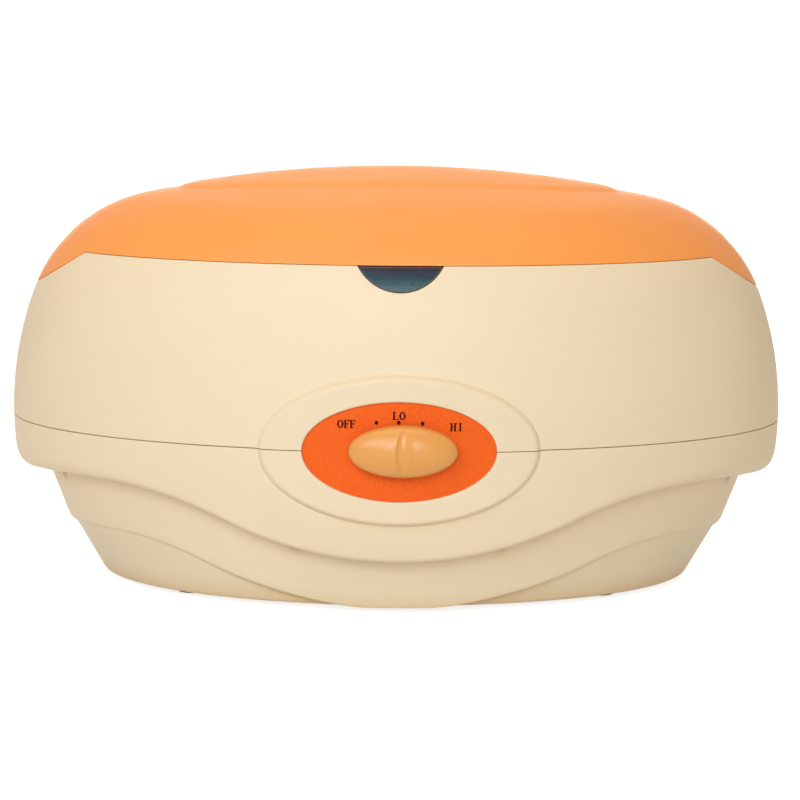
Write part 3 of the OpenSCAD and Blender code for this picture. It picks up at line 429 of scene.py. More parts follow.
def make_lower_shell():
    """Ledge, skirt and two tiers outside, then the cavity and the tongue."""
    t = angles(TURN)
    side = np.abs(np.cos(t)) ** 2
    tongue_a, tongue_b = HALF_W - WALL_T - TONGUE_GAP, HALF_D - WALL_T - TONGUE_GAP
    skirt, a_skirt = skirt_rows(t, side)
    z_top = np.maximum(solve_height(tier3_a, wave2, t, 20.0), BASE_Z + 0.06)
    tier2, a_tier2, room = tier2_rows(t, side, a_skirt, tier3_a(z_top))
    rows = [oval_row(tongue_a, SEAM_LOW, t, tongue_b)] + skirt + tier2 + tier3_rows(t, z_top, a_tier2, room)
    for fn_a, z in ((tier3_a, BASE_Z), (tier3_a, WAVE2[1]), (tier2_a, SHELF_Z), (wall_a, SHELF_Z + 6)):
        rows.append(inner_row(fn_a(z), z, t))
    a, b = tongue_a - TONGUE_T, tongue_b - TONGUE_T
    for out, z in ((0, TONGUE_LOW), (0, TONGUE_TOP - TONGUE_SOFT), (TONGUE_SOFT, TONGUE_TOP),
                   (TONGUE_T - TONGUE_SOFT, TONGUE_TOP), (TONGUE_T, TONGUE_TOP - TONGUE_SOFT)):
        rows.append(oval_row(a + out, z, t, b + out))
    return new_object("lower_shell", ring_rows(rows), loop_faces(len(rows), TURN, True))


# Upper shell

def edge_along(t, up):
    """How far along the outline the lid's edge line lies, for each angle."""
    z = np.full_like(t, LID_Z + up)
    for _ in range(80):
        z = 0.6 * z + 0.4 * (lid_line(outer_a(z) * np.cos(t)) + up)
    return along_of_z(z)


def kink_angles(up):
    """Angles at which the lid's edge line bends."""
    ends = (LID_FLAT, LID_Z + up), (LID_END, LID_Z - LID_DIP + up)
    return [math.acos(x / float(outer_a(z))) for x, z in ends if x < outer_a(z)]


def make_upper_shell():
    """Wall from the seam up to the lid's edge, then its inner face and the deck round the tank."""
    t = angles(TURN, kink_angles(0))
    rows = []
    e = SEAM_SOFT
    rows.append(inner_row(outer_a(SEAM_HIGH + WALL_T), SEAM_HIGH, t))
    rows += corner(oval_row(outer_a(SEAM_HIGH) - e, SEAM_HIGH, t), oval_row(outer_a(SEAM_HIGH), SEAM_HIGH, t),
                   oval_row(outer_a(SEAM_HIGH + e), SEAM_HIGH + e, t), 4)
    s_top = edge_along(t, 0)
    s_low = float(along_of_z(SEAM_HIGH + e))
    for f in np.linspace(0, 1, 46)[1:]:
        rows.append(oval_row(*outline_at(s_low + (s_top - EDGE_SOFT - s_low) * f), t))
    a, z = outline_at(s_top)
    rows += corner(rows[-1], oval_row(a, z, t), oval_row(a - EDGE_SOFT, z, t), 4)[1:]
    # inner face, a wall's thickness in
    rows.append(inner_row(outer_a(z + WALL_T), z, t))
    for f in (0.5, 1.0):
        zz = z * (1 - f) + DECK_Z * f
        rows.append(inner_row(outer_a(zz + WALL_T), zz, t))
    for out, z in ((EDGE_SOFT, DECK_Z), (0, DECK_Z - EDGE_SOFT), (0, DECK_Z - DECK_T)):
        rows.append(oval_row(MOUTH_A + out, z, t, MOUTH_B + out))
    for zz in (DECK_Z - DECK_T, 120.0, 100.0):
        rows.append(inner_row(outer_a(zz + WALL_T), zz, t))
    return new_object("upper_shell", ring_rows(rows), loop_faces(len(rows), TURN, True))


# Lid

CREASE, CREASE_W = 0.45, 7.0
CROWN_RUN, CROWN_SOFT, CROWN_FLAT, CROWN_LEAD = 9.0, 0.9, 12.0, 16.0


def crown_height(s):
    """Height over the dome, s millimetres inside the crown's outline: a shallow dip, then the rise."""
    dip = -CREASE * np.exp(-(np.minimum(s, 0) / CREASE_W) ** 2)
    q = np.clip(s / CROWN_RUN, 0, 1)
    return dip + (CROWN_RISE + CREASE) * (1 - (1 - q) ** 2.4)


def lid_outer_rows(t, s_edge):
    """Soft edge, shoulder, crease and raised crown."""
    ray = ray_of(t)
    a_crown = 1 / np.sqrt((np.cos(t) / CROWN_A) ** 2 + (ASPECT * np.sin(t) / CROWN_B) ** 2)
    a, z = outline_at(s_edge)
    s_from = s_edge + LID_SOFT
    rows = corner(oval_row(a - LID_SOFT, z, t), oval_row(a, z, t), oval_row(*outline_at(s_from), t), 5)
    s_crown = along_of_a(a_crown + CROWN_LEAD / ray)
    for f in np.linspace(0, 1, 50)[1:]:
        rows.append(oval_row(*outline_at(s_from + (s_crown - s_edge - LID_SOFT) * f), t))
    steps = np.linspace(-CROWN_SOFT, CROWN_SOFT, 7)
    for s in np.concatenate([np.linspace(-15, -2, 12), np.linspace(-1.2, 1.2, 9),
                             np.linspace(1.8, CROWN_FLAT, 14)]):
        a = a_crown - s / ray
        rows.append(oval_row(a, over_z(a) + np.mean([crown_height(s + d) for d in steps]), t))
    for f in np.linspace(0, 1, 26)[1:-1]:
        s = CROWN_FLAT + (a_crown * ray - CROWN_FLAT) * f
        a = a_crown - s / ray
        rows.append(oval_row(a, DOME_C[1] + np.sqrt(DOME_R ** 2 - a ** 2) + CROWN_RISE, t))
    return rows


def lid_inner_rows(t, s_edge):
    """Inner face, a wall's thickness down, from the edge's own line to the middle."""
    s_in = s_edge.copy()
    for _ in range(60):
        a, z = outline_at(s_in)
        want = lid_line(a * (1 - WALL_T / HALF_W) * np.cos(t)) + LID_GAP
        s_in = s_in + (want - (z - WALL_T)) * 0.7
    top = along_of_a(np.full_like(t, 1.0))
    rows = []
    for f in np.linspace(0, 1, 34):
        a, z = outline_at(s_in + (top - s_in) * f)
        rows.append(inner_row(a, z - WALL_T, t))
    return rows


def make_lid_rim(t):
    """Locating rim, grown into the lid's inner face."""
    b = float(outer_a(LID_Z + WALL_T)) * ASPECT - WALL_T - RIM_GAP
    a = b / ASPECT
    top = float(over_z(a / (1 - WALL_T / HALF_W) - 1.0)) - WALL_T + 0.6
    low = LID_Z - RIM_DEEP
    profile = ((0, low + RIM_SOFT), (0, top), (RIM_T, top), (RIM_T, low + RIM_SOFT),
               (RIM_T - RIM_SOFT, low), (RIM_SOFT, low))
    rows = [oval_row(a - inset, z, t, b - inset) for inset, z in profile]
    return new_object("lid_rim", ring_rows(rows), loop_faces(len(rows), TURN, True))


def make_lid_shell():
    t = angles(TURN, kink_angles(LID_GAP))
    s_edge = edge_along(t, LID_GAP)
    outer, inner = lid_outer_rows(t, s_edge), lid_inner_rows(t, s_edge)
    middle = [[0, MID_Y, BODY_H], [0, MID_Y, BODY_H - CROWN_RISE - WALL_T]]
    verts = np.vstack([ring_rows(outer + inner), middle])
    inside, tip = len(outer) * TURN, len(outer + inner) * TURN
    faces = loop_faces(len(outer), TURN) + loop_faces(len(inner), TURN, start=inside)
    faces += [(c, (c + 1) % TURN, inside + (c + 1) % TURN, inside + c) for c in range(TURN)]
    faces += fan(inside - TURN, TURN, tip) + fan(tip - TURN, TURN, tip + 1)
    return join("lid_shell", [new_object("lid_skin", verts, faces), make_lid_rim(t)])


# Boss round the dial

def face_y(x, y_mid):
    """Depth of a face that follows the housing's curve, y_mid deep at the middle."""
    a = y_mid + HALF_W - HALF_D
    return y_mid * np.sqrt(1 - (x / a) ** 2)


def make_boss():
    n = 480
    u = full_turn(n)
    cu, su = np.cos(u), np.sin(u)
    hole_a, hole_b = DIAL_A + DIAL_GAP, DIAL_B + DIAL_GAP

    def oval_at(a, b, off):
        """Points off millimetres outside the oval, along its normal."""
        nx, nz = cu / a, su / b
        k = np.hypot(nx, nz)
        return a * cu + off * nx / k, b * su + off * nz / k

    def row(x, zr, share):
        z = SEAM_Z + zr
        base = wall_y(x, z)
        top = face_y(x, BOSS_Y)
        return x, -(base - BOSS_SINK + (top - base + BOSS_SINK) * share), z

    rows = []
    for q in np.linspace(0, 1, 24):
        # two Bezier curves: how far outside the oval, and how much of the way up to the face
        s = ((1 - q) ** 3 * 1.3 + 3 * (1 - q) ** 2 * q * 0.1 + 3 * (1 - q) * q ** 2 * 0.05
             + q ** 3 * -BOSS_SOFT)
        share = 3 * (1 - q) * q ** 2 + q ** 3
        x, zr = oval_at(BOSS_A, BOSS_B, s)
        rows.append(row(x, zr, share))
    ox, oz = oval_at(BOSS_A, BOSS_B, -BOSS_SOFT)
    hx, hz = oval_at(hole_a, hole_b, HOLE_SOFT)
    for f in np.linspace(0, 1, 10)[1:]:
        rows.append(row(ox * (1 - f) + hx * f, oz * (1 - f) + hz * f, 1.0))
    # soft edge, the opening's wall, and the closed back inside the housing's wall
    gx, gz = hole_a * cu, hole_b * su
    for f in (0.35, 0.7, 1.0):
        ang = f * math.pi / 2
        off = HOLE_SOFT * (1 - math.sin(ang))
        x, zr = oval_at(hole_a, hole_b, off)
        rows.append((x, -(face_y(x, BOSS_Y) - HOLE_SOFT * (1 - math.cos(ang))), SEAM_Z + zr))
    rows.append((gx, -(face_y(gx, DIAL_BACK)), SEAM_Z + gz))
    for half_a, half_b, off, sunk in ((hole_a, hole_b, 1.5, 2.0), (BOSS_A, BOSS_B, -1.0, 1.6),
                                      (BOSS_A, BOSS_B, 1.2, 1.2)):
        bx, bz = oval_at(half_a, half_b, off)
        rows.append((bx, -(wall_y(bx, SEAM_Z + bz) - sunk), SEAM_Z + bz))
    return halve(new_object("boss", ring_rows(rows), loop_faces(len(rows), n, True)))


def halve(boss):
    """The boss parted at the housing's seam, upper half first."""
    halves = []
    for name, level, sign in (("dial_boss_upper", SEAM_HIGH, 1), ("dial_boss_lower", SEAM_LOW, -1)):
        bm = bmesh.new()
        bm.from_mesh(boss.data)
        geom = list(bm.verts) + list(bm.edges) + list(bm.faces)
        bmesh.ops.bisect_plane(bm, geom=geom, plane_co=(0, 0, level * 0.001), plane_no=(0, 0, -sign),
                               clear_outer=True)
        bmesh.ops.holes_fill(bm, edges=[e for e in bm.edges if e.is_boundary], sides=0)
        halves.append(settle(name, bm))
    drop(boss)
    return halves


# Dial plate and its print

def make_dial_plate():
    """Rings of the front, whose edge is a little sunk, then of the back."""
    n = 240
    u = full_turn(n)
    rings = [(k, DIAL_Y, 0.0) for k in (*np.linspace(0.04, 0.985, 18), 0.994)]
    rings += [(1.0, DIAL_Y, 0.08)] + [(k, DIAL_BACK, 0.0) for k in (1.0, 0.5, 0.24)]
    rows = []
    for k, y, sink in rings:
        x, zr = DIAL_A * k * np.cos(u), DIAL_B * k * np.sin(u)
        rows.append((x, sink - face_y(x, y), SEAM_Z + zr))
    return new_object("dial_face", ring_rows(rows), loop_faces(len(rows), n, True))


SERIF, STEM, PRINT_H = 0.36, 0.84, 3.8
WORDS = ("OFF", -24.3, 12.8, 8.5), ("LO", -0.2, 16.8, 5.9), ("HI", 25.7, 11.6, 5.5)
DOTS, DOT_A, DOT_B = ((-10.6, 13.6), (-0.4, 13.7), (10.5, 13.3)), 0.85, 0.95


def letter_outline(ch, h):
    """Outline of a serif capital from (0, 0), height h, and its width; an O is two loops."""
    s, k, up = STEM, SERIF, h - SERIF
    if ch == "O":
        w = 0.78 * h
        t = np.linspace(0, 2 * math.pi, 41)[:-1]
        outer = np.column_stack([w / 2 + w / 2 * np.cos(t), h / 2 + h / 2 * np.sin(t)])
        inner = np.column_stack([w / 2 + (w / 2 - s) * np.cos(t), h / 2 + (h / 2 - k * 1.1) * np.sin(t)])
        return [outer, inner], w
    if ch == "F":
        w, stem = 0.70 * h, 1.05
        arm_low, arm_high = h * 0.46, h * 0.46 + k
        return [[(0, 0), (1.5, 0), (1.5, k), (stem, k), (stem, arm_low), (w * 0.62, arm_low),
                 (w * 0.62, h * 0.36), (w * 0.76, h * 0.36), (w * 0.76, h * 0.68), (w * 0.62, h * 0.68),
                 (w * 0.62, arm_high), (stem, arm_high), (stem, up), (w - k, up), (w - k, h * 0.76),
                 (w, h * 0.76), (w, h), (0, h), (0, up), (stem - s, up), (stem - s, k), (0, k)]], w
    if ch == "L":
        w = 0.72 * h
        return [[(0, 0), (w, 0), (w, h * 0.28), (w - k, h * 0.28), (w - k, k), (1.0, k), (1.0, up),
                 (1.4, up), (1.4, h), (0, h), (0, up), (1.0 - s, up), (1.0 - s, k), (0, k)]], w
    if ch == "H":
        w, foot = 0.86 * h, 1.35
        m0, m1 = h * 0.47, h * 0.47 + k
        left, right = 0.38, w - 0.38
        return [[(0, 0), (foot, 0), (foot, k), (left + s, k), (left + s, m0), (right - s, m0), (right - s, k),
                 (w - foot, k), (w - foot, 0), (w, 0), (w, k), (right, k), (right, up), (w, up), (w, h),
                 (w - foot, h), (w - foot, up), (right - s, up), (right - s, m1), (left + s, m1),
                 (left + s, up), (foot, up), (foot, h), (0, h), (0, up), (left, up), (left, k),
                 (0, k)]], w
    w = 1.4
    c = w / 2
    return [[(0, 0), (w, 0), (w, k), (c + s / 2, k), (c + s / 2, up), (w, up), (w, h), (0, h),
             (0, up), (c - s / 2, up), (c - s / 2, k), (0, k)]], w


def print_solid(loops, x0, z0, name):
    """Thin raised print on the dial plate from one outline, or from two as a ring."""
    verts, faces = [], []
    lift = (0.10, -0.05)
    for loop in loops:
        p = np.asarray(loop, float)
        for off in lift:
            x = x0 + p[:, 0]
            verts.append(np.column_stack([x, -(face_y(x, DIAL_Y) + off) + MID_Y, SEAM_Z + z0 + p[:, 1]]))
    n = len(loops[0])
    verts = np.vstack(verts)
    if len(loops) == 1:
        faces = [tuple(range(n)), tuple(range(n, 2 * n))[::-1]] + loop_faces(2, n)
    else:
        for i in range(n):
            j = (i + 1) % n
            faces += [(i, j, 2 * n + j, 2 * n + i), (n + i, n + j, 3 * n + j, 3 * n + i),
                      (i, j, n + j, n + i), (2 * n + i, 2 * n + j, 3 * n + j, 3 * n + i)]
    return new_object(name, verts, faces, merge=0.0005)


def make_print():
    """Words, each spread over its width, and the dots between them."""
    parts = []
    for word, cx, cz, wide in WORDS:
        outlines = [letter_outline(c, PRINT_H) for c in word]
        total = sum(w for _, w in outlines)
        gap = (wide - total) / max(1, len(word) - 1)
        x = cx - wide / 2
        for i, (loops, w) in enumerate(outlines):
            parts.append(print_solid(loops, x, cz - PRINT_H / 2, f"print_{word}_{i}"))
            x += w + gap
    for i, (cx, cz) in enumerate(DOTS):
        parts.append(print_solid([circle_points(0, 0, DOT_A, DOT_B, n=20)], cx, cz, f"print_dot_{i}"))
    return join("dial_print", parts)


# Knob

POINTER_Z, POINTER_UP, POINTER_HALF, POINTER_DEEP = -0.2, 10.6, 3.4, 1.25
POINTER_RIM, POINTER_RIM_OUT, POINTER_RIM_W = 0.22, 0.35, 0.5


def make_knob():
    n = 360
    u = full_turn(n)
    cu, su = np.cos(u), np.sin(u)

    def front(p):
        """Points of the domed front, a share p of the way out from its middle."""
        x, z = KNOB_A * p * cu, KNOB_B * p * su
        dome = KNOB_RIM + (KNOB_T - KNOB_RIM) * math.sqrt(max(0.0, 1 - p * p))
        # upright pointer groove: a spindle with a crisp rim
        tall = np.clip(1 - (np.abs(z - POINTER_Z) / POINTER_UP) ** 2.0, 0, 1)
        half = POINTER_HALF * tall ** 0.6 + 1e-4
        q = np.abs(x) / half
        groove = POINTER_DEEP * np.clip(1 - q ** 2.2, 0, 1) ** 0.9 * tall ** 0.6
        rim = POINTER_RIM * np.exp(-((np.abs(x) - half - POINTER_RIM_OUT) / POINTER_RIM_W) ** 2) * tall ** 0.5
        return x, dome - groove + rim, z

    rows = [front(math.sin(f * math.pi / 2)) for f in (*np.linspace(0.012, 0.93, 58), 0.96, 0.985, 1.0)]
    for h in (KNOB_RIM * 0.5, 0.5):
        rows.append((KNOB_A * cu, h + 0 * cu, KNOB_B * su))
    rows.append(((KNOB_A - 0.45) * cu, 0.0 * cu, (KNOB_B - 0.45) * su))
    # well in the back, then the bore for the spindle
    for r, h in ((WELL_R, 0.0), (WELL_R, WELL_DEEP), (BORE_R, WELL_DEEP), (BORE_R, BORE_DEEP)):
        rows.append((r * cu, h + 0 * cu, r * su))
    pts = [np.column_stack([x + KNOB_X, -(KNOB_BACK + h) + MID_Y, z + KNOB_Z]) for x, h, z in rows]
    verts = np.vstack(pts)
    k = len(verts)
    _, h0, _ = front(0.0)
    verts = np.vstack([verts, [[KNOB_X, -(KNOB_BACK + float(np.max(h0))) + MID_Y, KNOB_Z],
                               [KNOB_X, -(KNOB_BACK + BORE_DEEP) + MID_Y, KNOB_Z]]])
    faces = loop_faces(len(rows), n) + fan(0, n, k) + fan((len(rows) - 1) * n, n, k + 1)
    return new_object("knob_cap", verts, faces, sharp=40)


# Lens

LENS_HALF, LENS_H, LENS_TOP = 19.5, 11.5, LID_Z - LID_GAP
LENS_R = (LENS_HALF ** 2 + LENS_H ** 2) / (2 * LENS_H)
LENS_C = LENS_TOP - LENS_H + LENS_R
LENS_T, LENS_GAP, LENS_PROUD, LENS_SOFT, LENS_SOFT_W = 2.4, 0.15, 0.08, 0.22, 0.7
# Sizes of the dark bands of painted shadow: the arc round the lens and the bar under the lid's edge.
ARC_IN, ARC_W, ARC_PROUD = 0.3, 0.62, 0.16
BAR_DOWN, BAR_W, BAR_PROUD, BAND_SINK = 0.42, 0.8, 0.13, 1.2


def make_lens():
    nx, nz = 81, 21
    x = (LENS_HALF - LENS_GAP) * np.sin(np.linspace(-math.pi / 2, math.pi / 2, nx))
    low = LENS_C - np.sqrt(LENS_R ** 2 - x ** 2)
    rows_f, rows_b = [], []
    for f in np.linspace(0, 1, nz):
        z = low + (LENS_TOP - low) * f
        edge = np.minimum(LENS_R - np.hypot(x, z - LENS_C), LENS_TOP - z)
        soft = LENS_SOFT * np.clip(1 - edge / LENS_SOFT_W, 0, 1) ** 2
        rows_f.append(np.column_stack([x, -(wall_y(x, z) + LENS_PROUD - soft) + MID_Y, z]))
        rows_b.append(np.column_stack([x, -(wall_y(x, z) - LENS_T) + MID_Y, z]))
    verts = np.vstack(rows_f + rows_b)
    off = nx * nz
    faces = loop_faces(nz, nx, wrap_cols=False) + loop_faces(nz, nx, wrap_cols=False, start=off)
    for j in range(nz - 1):
        for c in (0, nx - 1):
            faces.append((j * nx + c, (j + 1) * nx + c, off + (j + 1) * nx + c, off + j * nx + c))
    for c in range(nx - 1):
        for j in (0, nz - 1):
            faces.append((j * nx + c, j * nx + c + 1, off + j * nx + c + 1, off + j * nx + c))
    return new_object("lens_window_front", verts, faces, merge=0.02)


def band(name, path, width, lift, sink):
    """Thin strip that lies on the housing's front along path (x, z, normal x, normal z), with soft edges."""
    profile = [(f, lift * (1 - (2 * f) ** 4)) for f in np.linspace(-0.5, 0.5, 6)]
    profile += [(0.5, -sink), (-0.5, -sink)]
    verts = []
    for x, z, nx, nz in path:
        for f, up in profile:
            px, pz = x + nx * width * f, z + nz * width * f
            verts.append((px, MID_Y - (float(wall_y(px, pz)) + up), pz))
    n, k = len(path), len(profile)
    faces = loop_faces(n, k) + [tuple(range(k))[::-1], tuple(range((n - 1) * k, n * k))]
    return new_object(name, verts, faces)


def make_lens_shadow_bands():
    """Dark bands of painted shadow: an arc below, for the shadow in the gap round the lens, and a straight
    strip under the lid's edge, for the lid's shadow.
    """
    reach = math.asin(LENS_HALF / LENS_R)
    r = LENS_R - ARC_IN
    low = [(r * math.sin(a), LENS_C - r * math.cos(a), math.sin(a), -math.cos(a))
           for a in np.linspace(-reach * 0.985, reach * 0.985, 61)]
    top = [(x, LENS_TOP - BAR_DOWN, 0.0, 1.0) for x in np.linspace(-LENS_HALF + 0.6, LENS_HALF - 0.6, 41)]
    return join("lens_shadow_bands", [band("arc", low, ARC_W, ARC_PROUD, BAND_SINK),
                               band("bar", top, BAR_W, BAR_PROUD, BAND_SINK)])


def soft_box(name, x0, x1, y0, y1, z0, z1, r=0.4):
    """Closed block with bevelled edges, in frame millimetres."""
    v = [(x, y, z) for z in (z0, z1) for x, y in ((x0, y0), (x1, y0), (x1, y1), (x0, y1))]
    f = [(0, 1, 2, 3), (4, 5, 6, 7), (0, 1, 5, 4), (1, 2, 6, 5), (2, 3, 7, 6), (3, 0, 4, 7)]
    obj = new_object(name, v, f)
    bm = bmesh.new()
    bm.from_mesh(obj.data)
    bmesh.ops.bevel(bm, geom=list(bm.edges), offset=r * 0.001, segments=2, affect="EDGES", profile=0.6)
    bm.to_mesh(obj.data)
    bm.free()
    shade(obj)
    return obj


PIPE_HALF, PIPE_T, PIPE_GAP, PIPE_UNDER, BRIDGE_HALF = 14.0, 3.6, 0.3, 4.5, 8.0
PIPE_HIGH = LID_Z - 7.5
PIPE_TOP_A = float(outer_a(PIPE_HIGH + WALL_T))
PIPE_WALL = (PIPE_TOP_A * ASPECT - WALL_T) * math.sqrt(1 - (PIPE_HALF / (PIPE_TOP_A - WALL_T)) ** 2)
PIPE_Y = PIPE_WALL - PIPE_GAP - PIPE_T


def make_window():
    """Lens, the light pipe behind the housing's wall, and the bridge between them."""
    lens = make_lens()
    pipe = soft_box("pipe", -PIPE_HALF, PIPE_HALF, MID_Y - PIPE_Y - PIPE_T, MID_Y - PIPE_Y,
                    DECK_Z - PIPE_UNDER, PIPE_HIGH)
    back = MID_Y - PIPE_WALL
    bridge = soft_box("bridge", -BRIDGE_HALF, BRIDGE_HALF, back - 1, back + 2.6,
                      PIPE_HIGH - 3, PIPE_HIGH - 0.1)
    return join("lens_window", [lens, pipe, bridge])


# Build

lower_shell = make_lower_shell()
upper_shell = make_upper_shell()
lid_shell = make_lid_shell()
boss_upper, boss_lower = make_boss()
dial_face = make_dial_plate()
dial_print = make_print()
knob_cap = make_knob()
lens_window = make_window()
# dark bands of painted shadow round the lens
lens_shadow_bands = make_lens_shadow_bands()

# how far the cuts go: distances before or behind the middle, and heights
IN_FRONT, DIAL_SEAT, DIAL_CLEAR, LENS_BACK, LENS_CLEAR = 140, 118.4, 0.9, 60, 0.25
BUSH_R, BUSH_BACK, BUSH_FRONT = 5.2, 111, 119.2
SLOT_HALF, SLOT_FRONT, SLOT_BACK, SLOT_DOWN, SLOT_UP = 14.2, 3.8, 0.2, 15, 5
INLET_HALF, INLET_LOW, INLET_HIGH, INLET_NEAR, INLET_FAR = 13.2, 33.1, 55.5, 91, 130
SCREWS, SCREW_R, SCREW_LOW, SCREW_HIGH = ((48.5, 101.05), (165.0, 40.57)), 3.6, -5, 64

dial_mark = circle_points(0, SEAM_Z, DIAL_A + DIAL_CLEAR, DIAL_B + DIAL_CLEAR, n=160)
dial_cut = tube_solid("dial_cut", dial_mark, 1, MID_Y - DIAL_SEAT, MID_Y - IN_FRONT)
bush_mark = circle_points(KNOB_X, KNOB_Z, BUSH_R, n=64)
bush_cut = tube_solid("bush_cut", bush_mark, 1, MID_Y - BUSH_BACK, MID_Y - BUSH_FRONT)

cut_r = LENS_R + LENS_CLEAR
arc = np.linspace(-1, 1, 61) * math.asin(min(1.0, (LENS_HALF + 0.3) / cut_r))
lens_mark = np.column_stack([np.concatenate([cut_r * np.sin(arc), [24, -24]]),
                             np.concatenate([LENS_C - cut_r * np.cos(arc), [180, 180]])])
lens_cut = tube_solid("lens_cut", lens_mark, 1, MID_Y - LENS_BACK, MID_Y - IN_FRONT)

slot_mark = rectangle(SLOT_HALF, MID_Y - PIPE_Y - SLOT_FRONT, MID_Y - PIPE_Y + SLOT_BACK)
slot_cut = tube_solid("slot_cut", slot_mark, 2, DECK_Z - SLOT_DOWN, DECK_Z + SLOT_UP)
inlet_mark = rectangle(INLET_HALF, INLET_LOW, INLET_HIGH)
inlet_cut = tube_solid("inlet_cut", inlet_mark, 1, MID_Y + INLET_NEAR, MID_Y + INLET_FAR)

recess_marks = [circle_points(sx * px, MID_Y + sy * py, SCREW_R, n=40)
                for sx in (-1, 1) for sy in (-1, 1) for px, py in SCREWS]
recess_cuts = [tube_solid(f"recess_{i}", mark, 2, SCREW_LOW, SCREW_HIGH)
               for i, mark in enumerate(recess_marks)]
cut(lower_shell, dial_cut, bush_cut, inlet_cut, *recess_cuts)
cut(upper_shell, dial_cut, bush_cut, lens_cut, slot_cut)
drop(dial_cut, bush_cut, lens_cut, slot_cut, inlet_cut, *recess_cuts)


# Materials

def linear(r, g, b):
    """Linear colour of an sRGB colour with parts of 0 to 255."""
    out = []
    for v in (r, g, b):
        v /= 255
        out.append(v / 12.92 if v <= 0.04045 else ((v + 0.055) / 1.055) ** 2.4)
    return (*out, 1.0)


class Nodes:
    """Short way to lay nodes in the tree of a material or a world."""

    def __init__(self, owner, bare=False):
        owner.use_nodes = True
        self.tree = owner.node_tree
        if bare:
            self.tree.nodes.clear()

    def feed(self, socket, value):
        """Links an output to the socket, or gives the socket a value."""
        if isinstance(value, bpy.types.NodeSocket):
            self.tree.links.new(value, socket)
        else:
            socket.default_value = value

    def add(self, kind, inputs=None, **values):
        """New node; each value is for its property or input of that name."""
        n = self.tree.nodes.new(kind)
        for k, v in values.items():
            if hasattr(n, k):
                setattr(n, k, v)
            else:
                n.inputs[k.replace("_", " ")].default_value = v
        for k, v in (inputs or {}).items():
            self.feed(n.inputs[k], v)
        return n

    def math(self, kind, a, b, **values):
        return self.add("ShaderNodeMath", {0: a, 1: b}, operation=kind, **values).outputs[0]

    def span(self, fac, low, high):
        return self.add("ShaderNodeMapRange", {"Value": fac}, To_Min=low, To_Max=high).outputs["Result"]

    def blend(self, fac, a, b, mode="MIX"):
        return self.add("ShaderNodeMix", {0: fac, 6: a, 7: b}, data_type="RGBA", blend_type=mode).outputs[2]

    def seen(self):
        """1 for rays from the camera and for those that a gloss or a clear body sends on."""
        path = self.add("ShaderNodeLightPath")
        out = path.outputs["Is Camera Ray"]
        for other in ("Is Glossy Ray", "Is Transmission Ray"):
            out = self.math("ADD", out, path.outputs[other], use_clamp=True)
        return out


class Look(Nodes):
    """Material with one shader, laid out from the object's own coordinates."""

    def __init__(self, name):
        self.mat = bpy.data.materials.new(name)
        super().__init__(self.mat)
        self.shader = self.tree.nodes["Principled BSDF"]
        self.coords = self.add("ShaderNodeTexCoord").outputs["Object"]

    def noise(self, scale, detail=2.0, rough=0.5, stretch=None):
        vec = self.coords
        if stretch:
            vec = self.add("ShaderNodeMapping", {"Vector": vec}, Scale=stretch).outputs["Vector"]
        n = self.add("ShaderNodeTexNoise", {"Vector": vec}, Scale=scale, Detail=detail, Roughness=rough)
        return n.outputs["Fac"]

    def height(self, low, high):
        """0 to 1 from one height to another, both in metres."""
        z = self.add("ShaderNodeSeparateXYZ", {"Vector": self.coords}).outputs["Z"]
        return self.add("ShaderNodeMapRange", {"Value": z}, From_Min=low, From_Max=high).outputs["Result"]

    def ramp(self, fac, stops):
        n = self.add("ShaderNodeValToRGB", {"Fac": fac})
        while len(n.color_ramp.elements) < len(stops):
            n.color_ramp.elements.new(0.5)
        for e, (pos, col) in zip(n.color_ramp.elements, stops):
            e.position, e.color = pos, col
        return n.outputs["Color"]

    def bump(self, height, strength, distance, before=None):
        links = {"Height": height}
        if before is not None:
            links["Normal"] = before
        return self.add("ShaderNodeBump", links, Strength=strength, Distance=distance).outputs["Normal"]

    def tones(self, fac, c, dark, light, low=0.3, high=0.7):
        """Colour c times dark to c times light, as fac goes from low to high."""
        return self.ramp(fac, [(low, shade_of(c, dark)), (high, shade_of(c, light))])

    def finish(self, colour, rough, normal=None, **values):
        """Feeds the shader and returns the material."""
        self.feed(self.shader.inputs["Base Color"], colour)
        self.feed(self.shader.inputs["Roughness"], rough)
        if normal:
            self.feed(self.shader.inputs["Normal"], normal)
        for k, v in values.items():
            self.shader.inputs[k.replace("_", " ")].default_value = v
        return self.mat


WHITE = 1.0, 1.0, 1.0


def shade_of(c, f):
    """Colour c, lighter or darker by the factor f."""
    return tuple(min(1.0, v * f) for v in c[:3]) + (1.0,)


def moulded(name, rgb, rough=0.42, spread=0.03, grain=0.25, painted_shade_tint=None, reach=0.014, ior=1.46):
    """Moulded plastic: faint flow marks, a fine grain, gloss that varies, and painted shade: with a tint
    given, the colour darkens towards it in hollows and under overhangs.
    """
    m = Look(name)
    flow = m.noise(9.0, 3.0, 0.55, (1.0, 1.0, 2.2))
    fine = m.noise(950.0, 3.0, 0.6)
    tone = m.tones(flow, linear(*rgb), 1 - spread, 1 + spread)
    base = m.blend(1.0, tone, m.tones(fine, WHITE, 0.985, 1.0), "MULTIPLY")
    # Painted shade: where ambient occlusion within reach finds hollows, creases and overhangs, the colour is
    # darkened towards the given tint.
    if painted_shade_tint:
        open_sky = m.add("ShaderNodeAmbientOcclusion", samples=8, Distance=reach).outputs["AO"]
        openness = m.add("ShaderNodeMapRange", {"Value": open_sky}, From_Min=0.25, From_Max=0.72)
        base = m.blend(openness.outputs["Result"], m.blend(1.0, base, (*painted_shade_tint, 1.0), "MULTIPLY"), base)
    gloss = m.span(m.noise(60.0, 4.0), rough - 0.05, rough + 0.07)
    grained = m.bump(fine, grain, 0.00006)
    return m.finish(base, gloss, m.bump(m.noise(26.0, 2.0), 0.12, 0.0004, grained), IOR=ior)


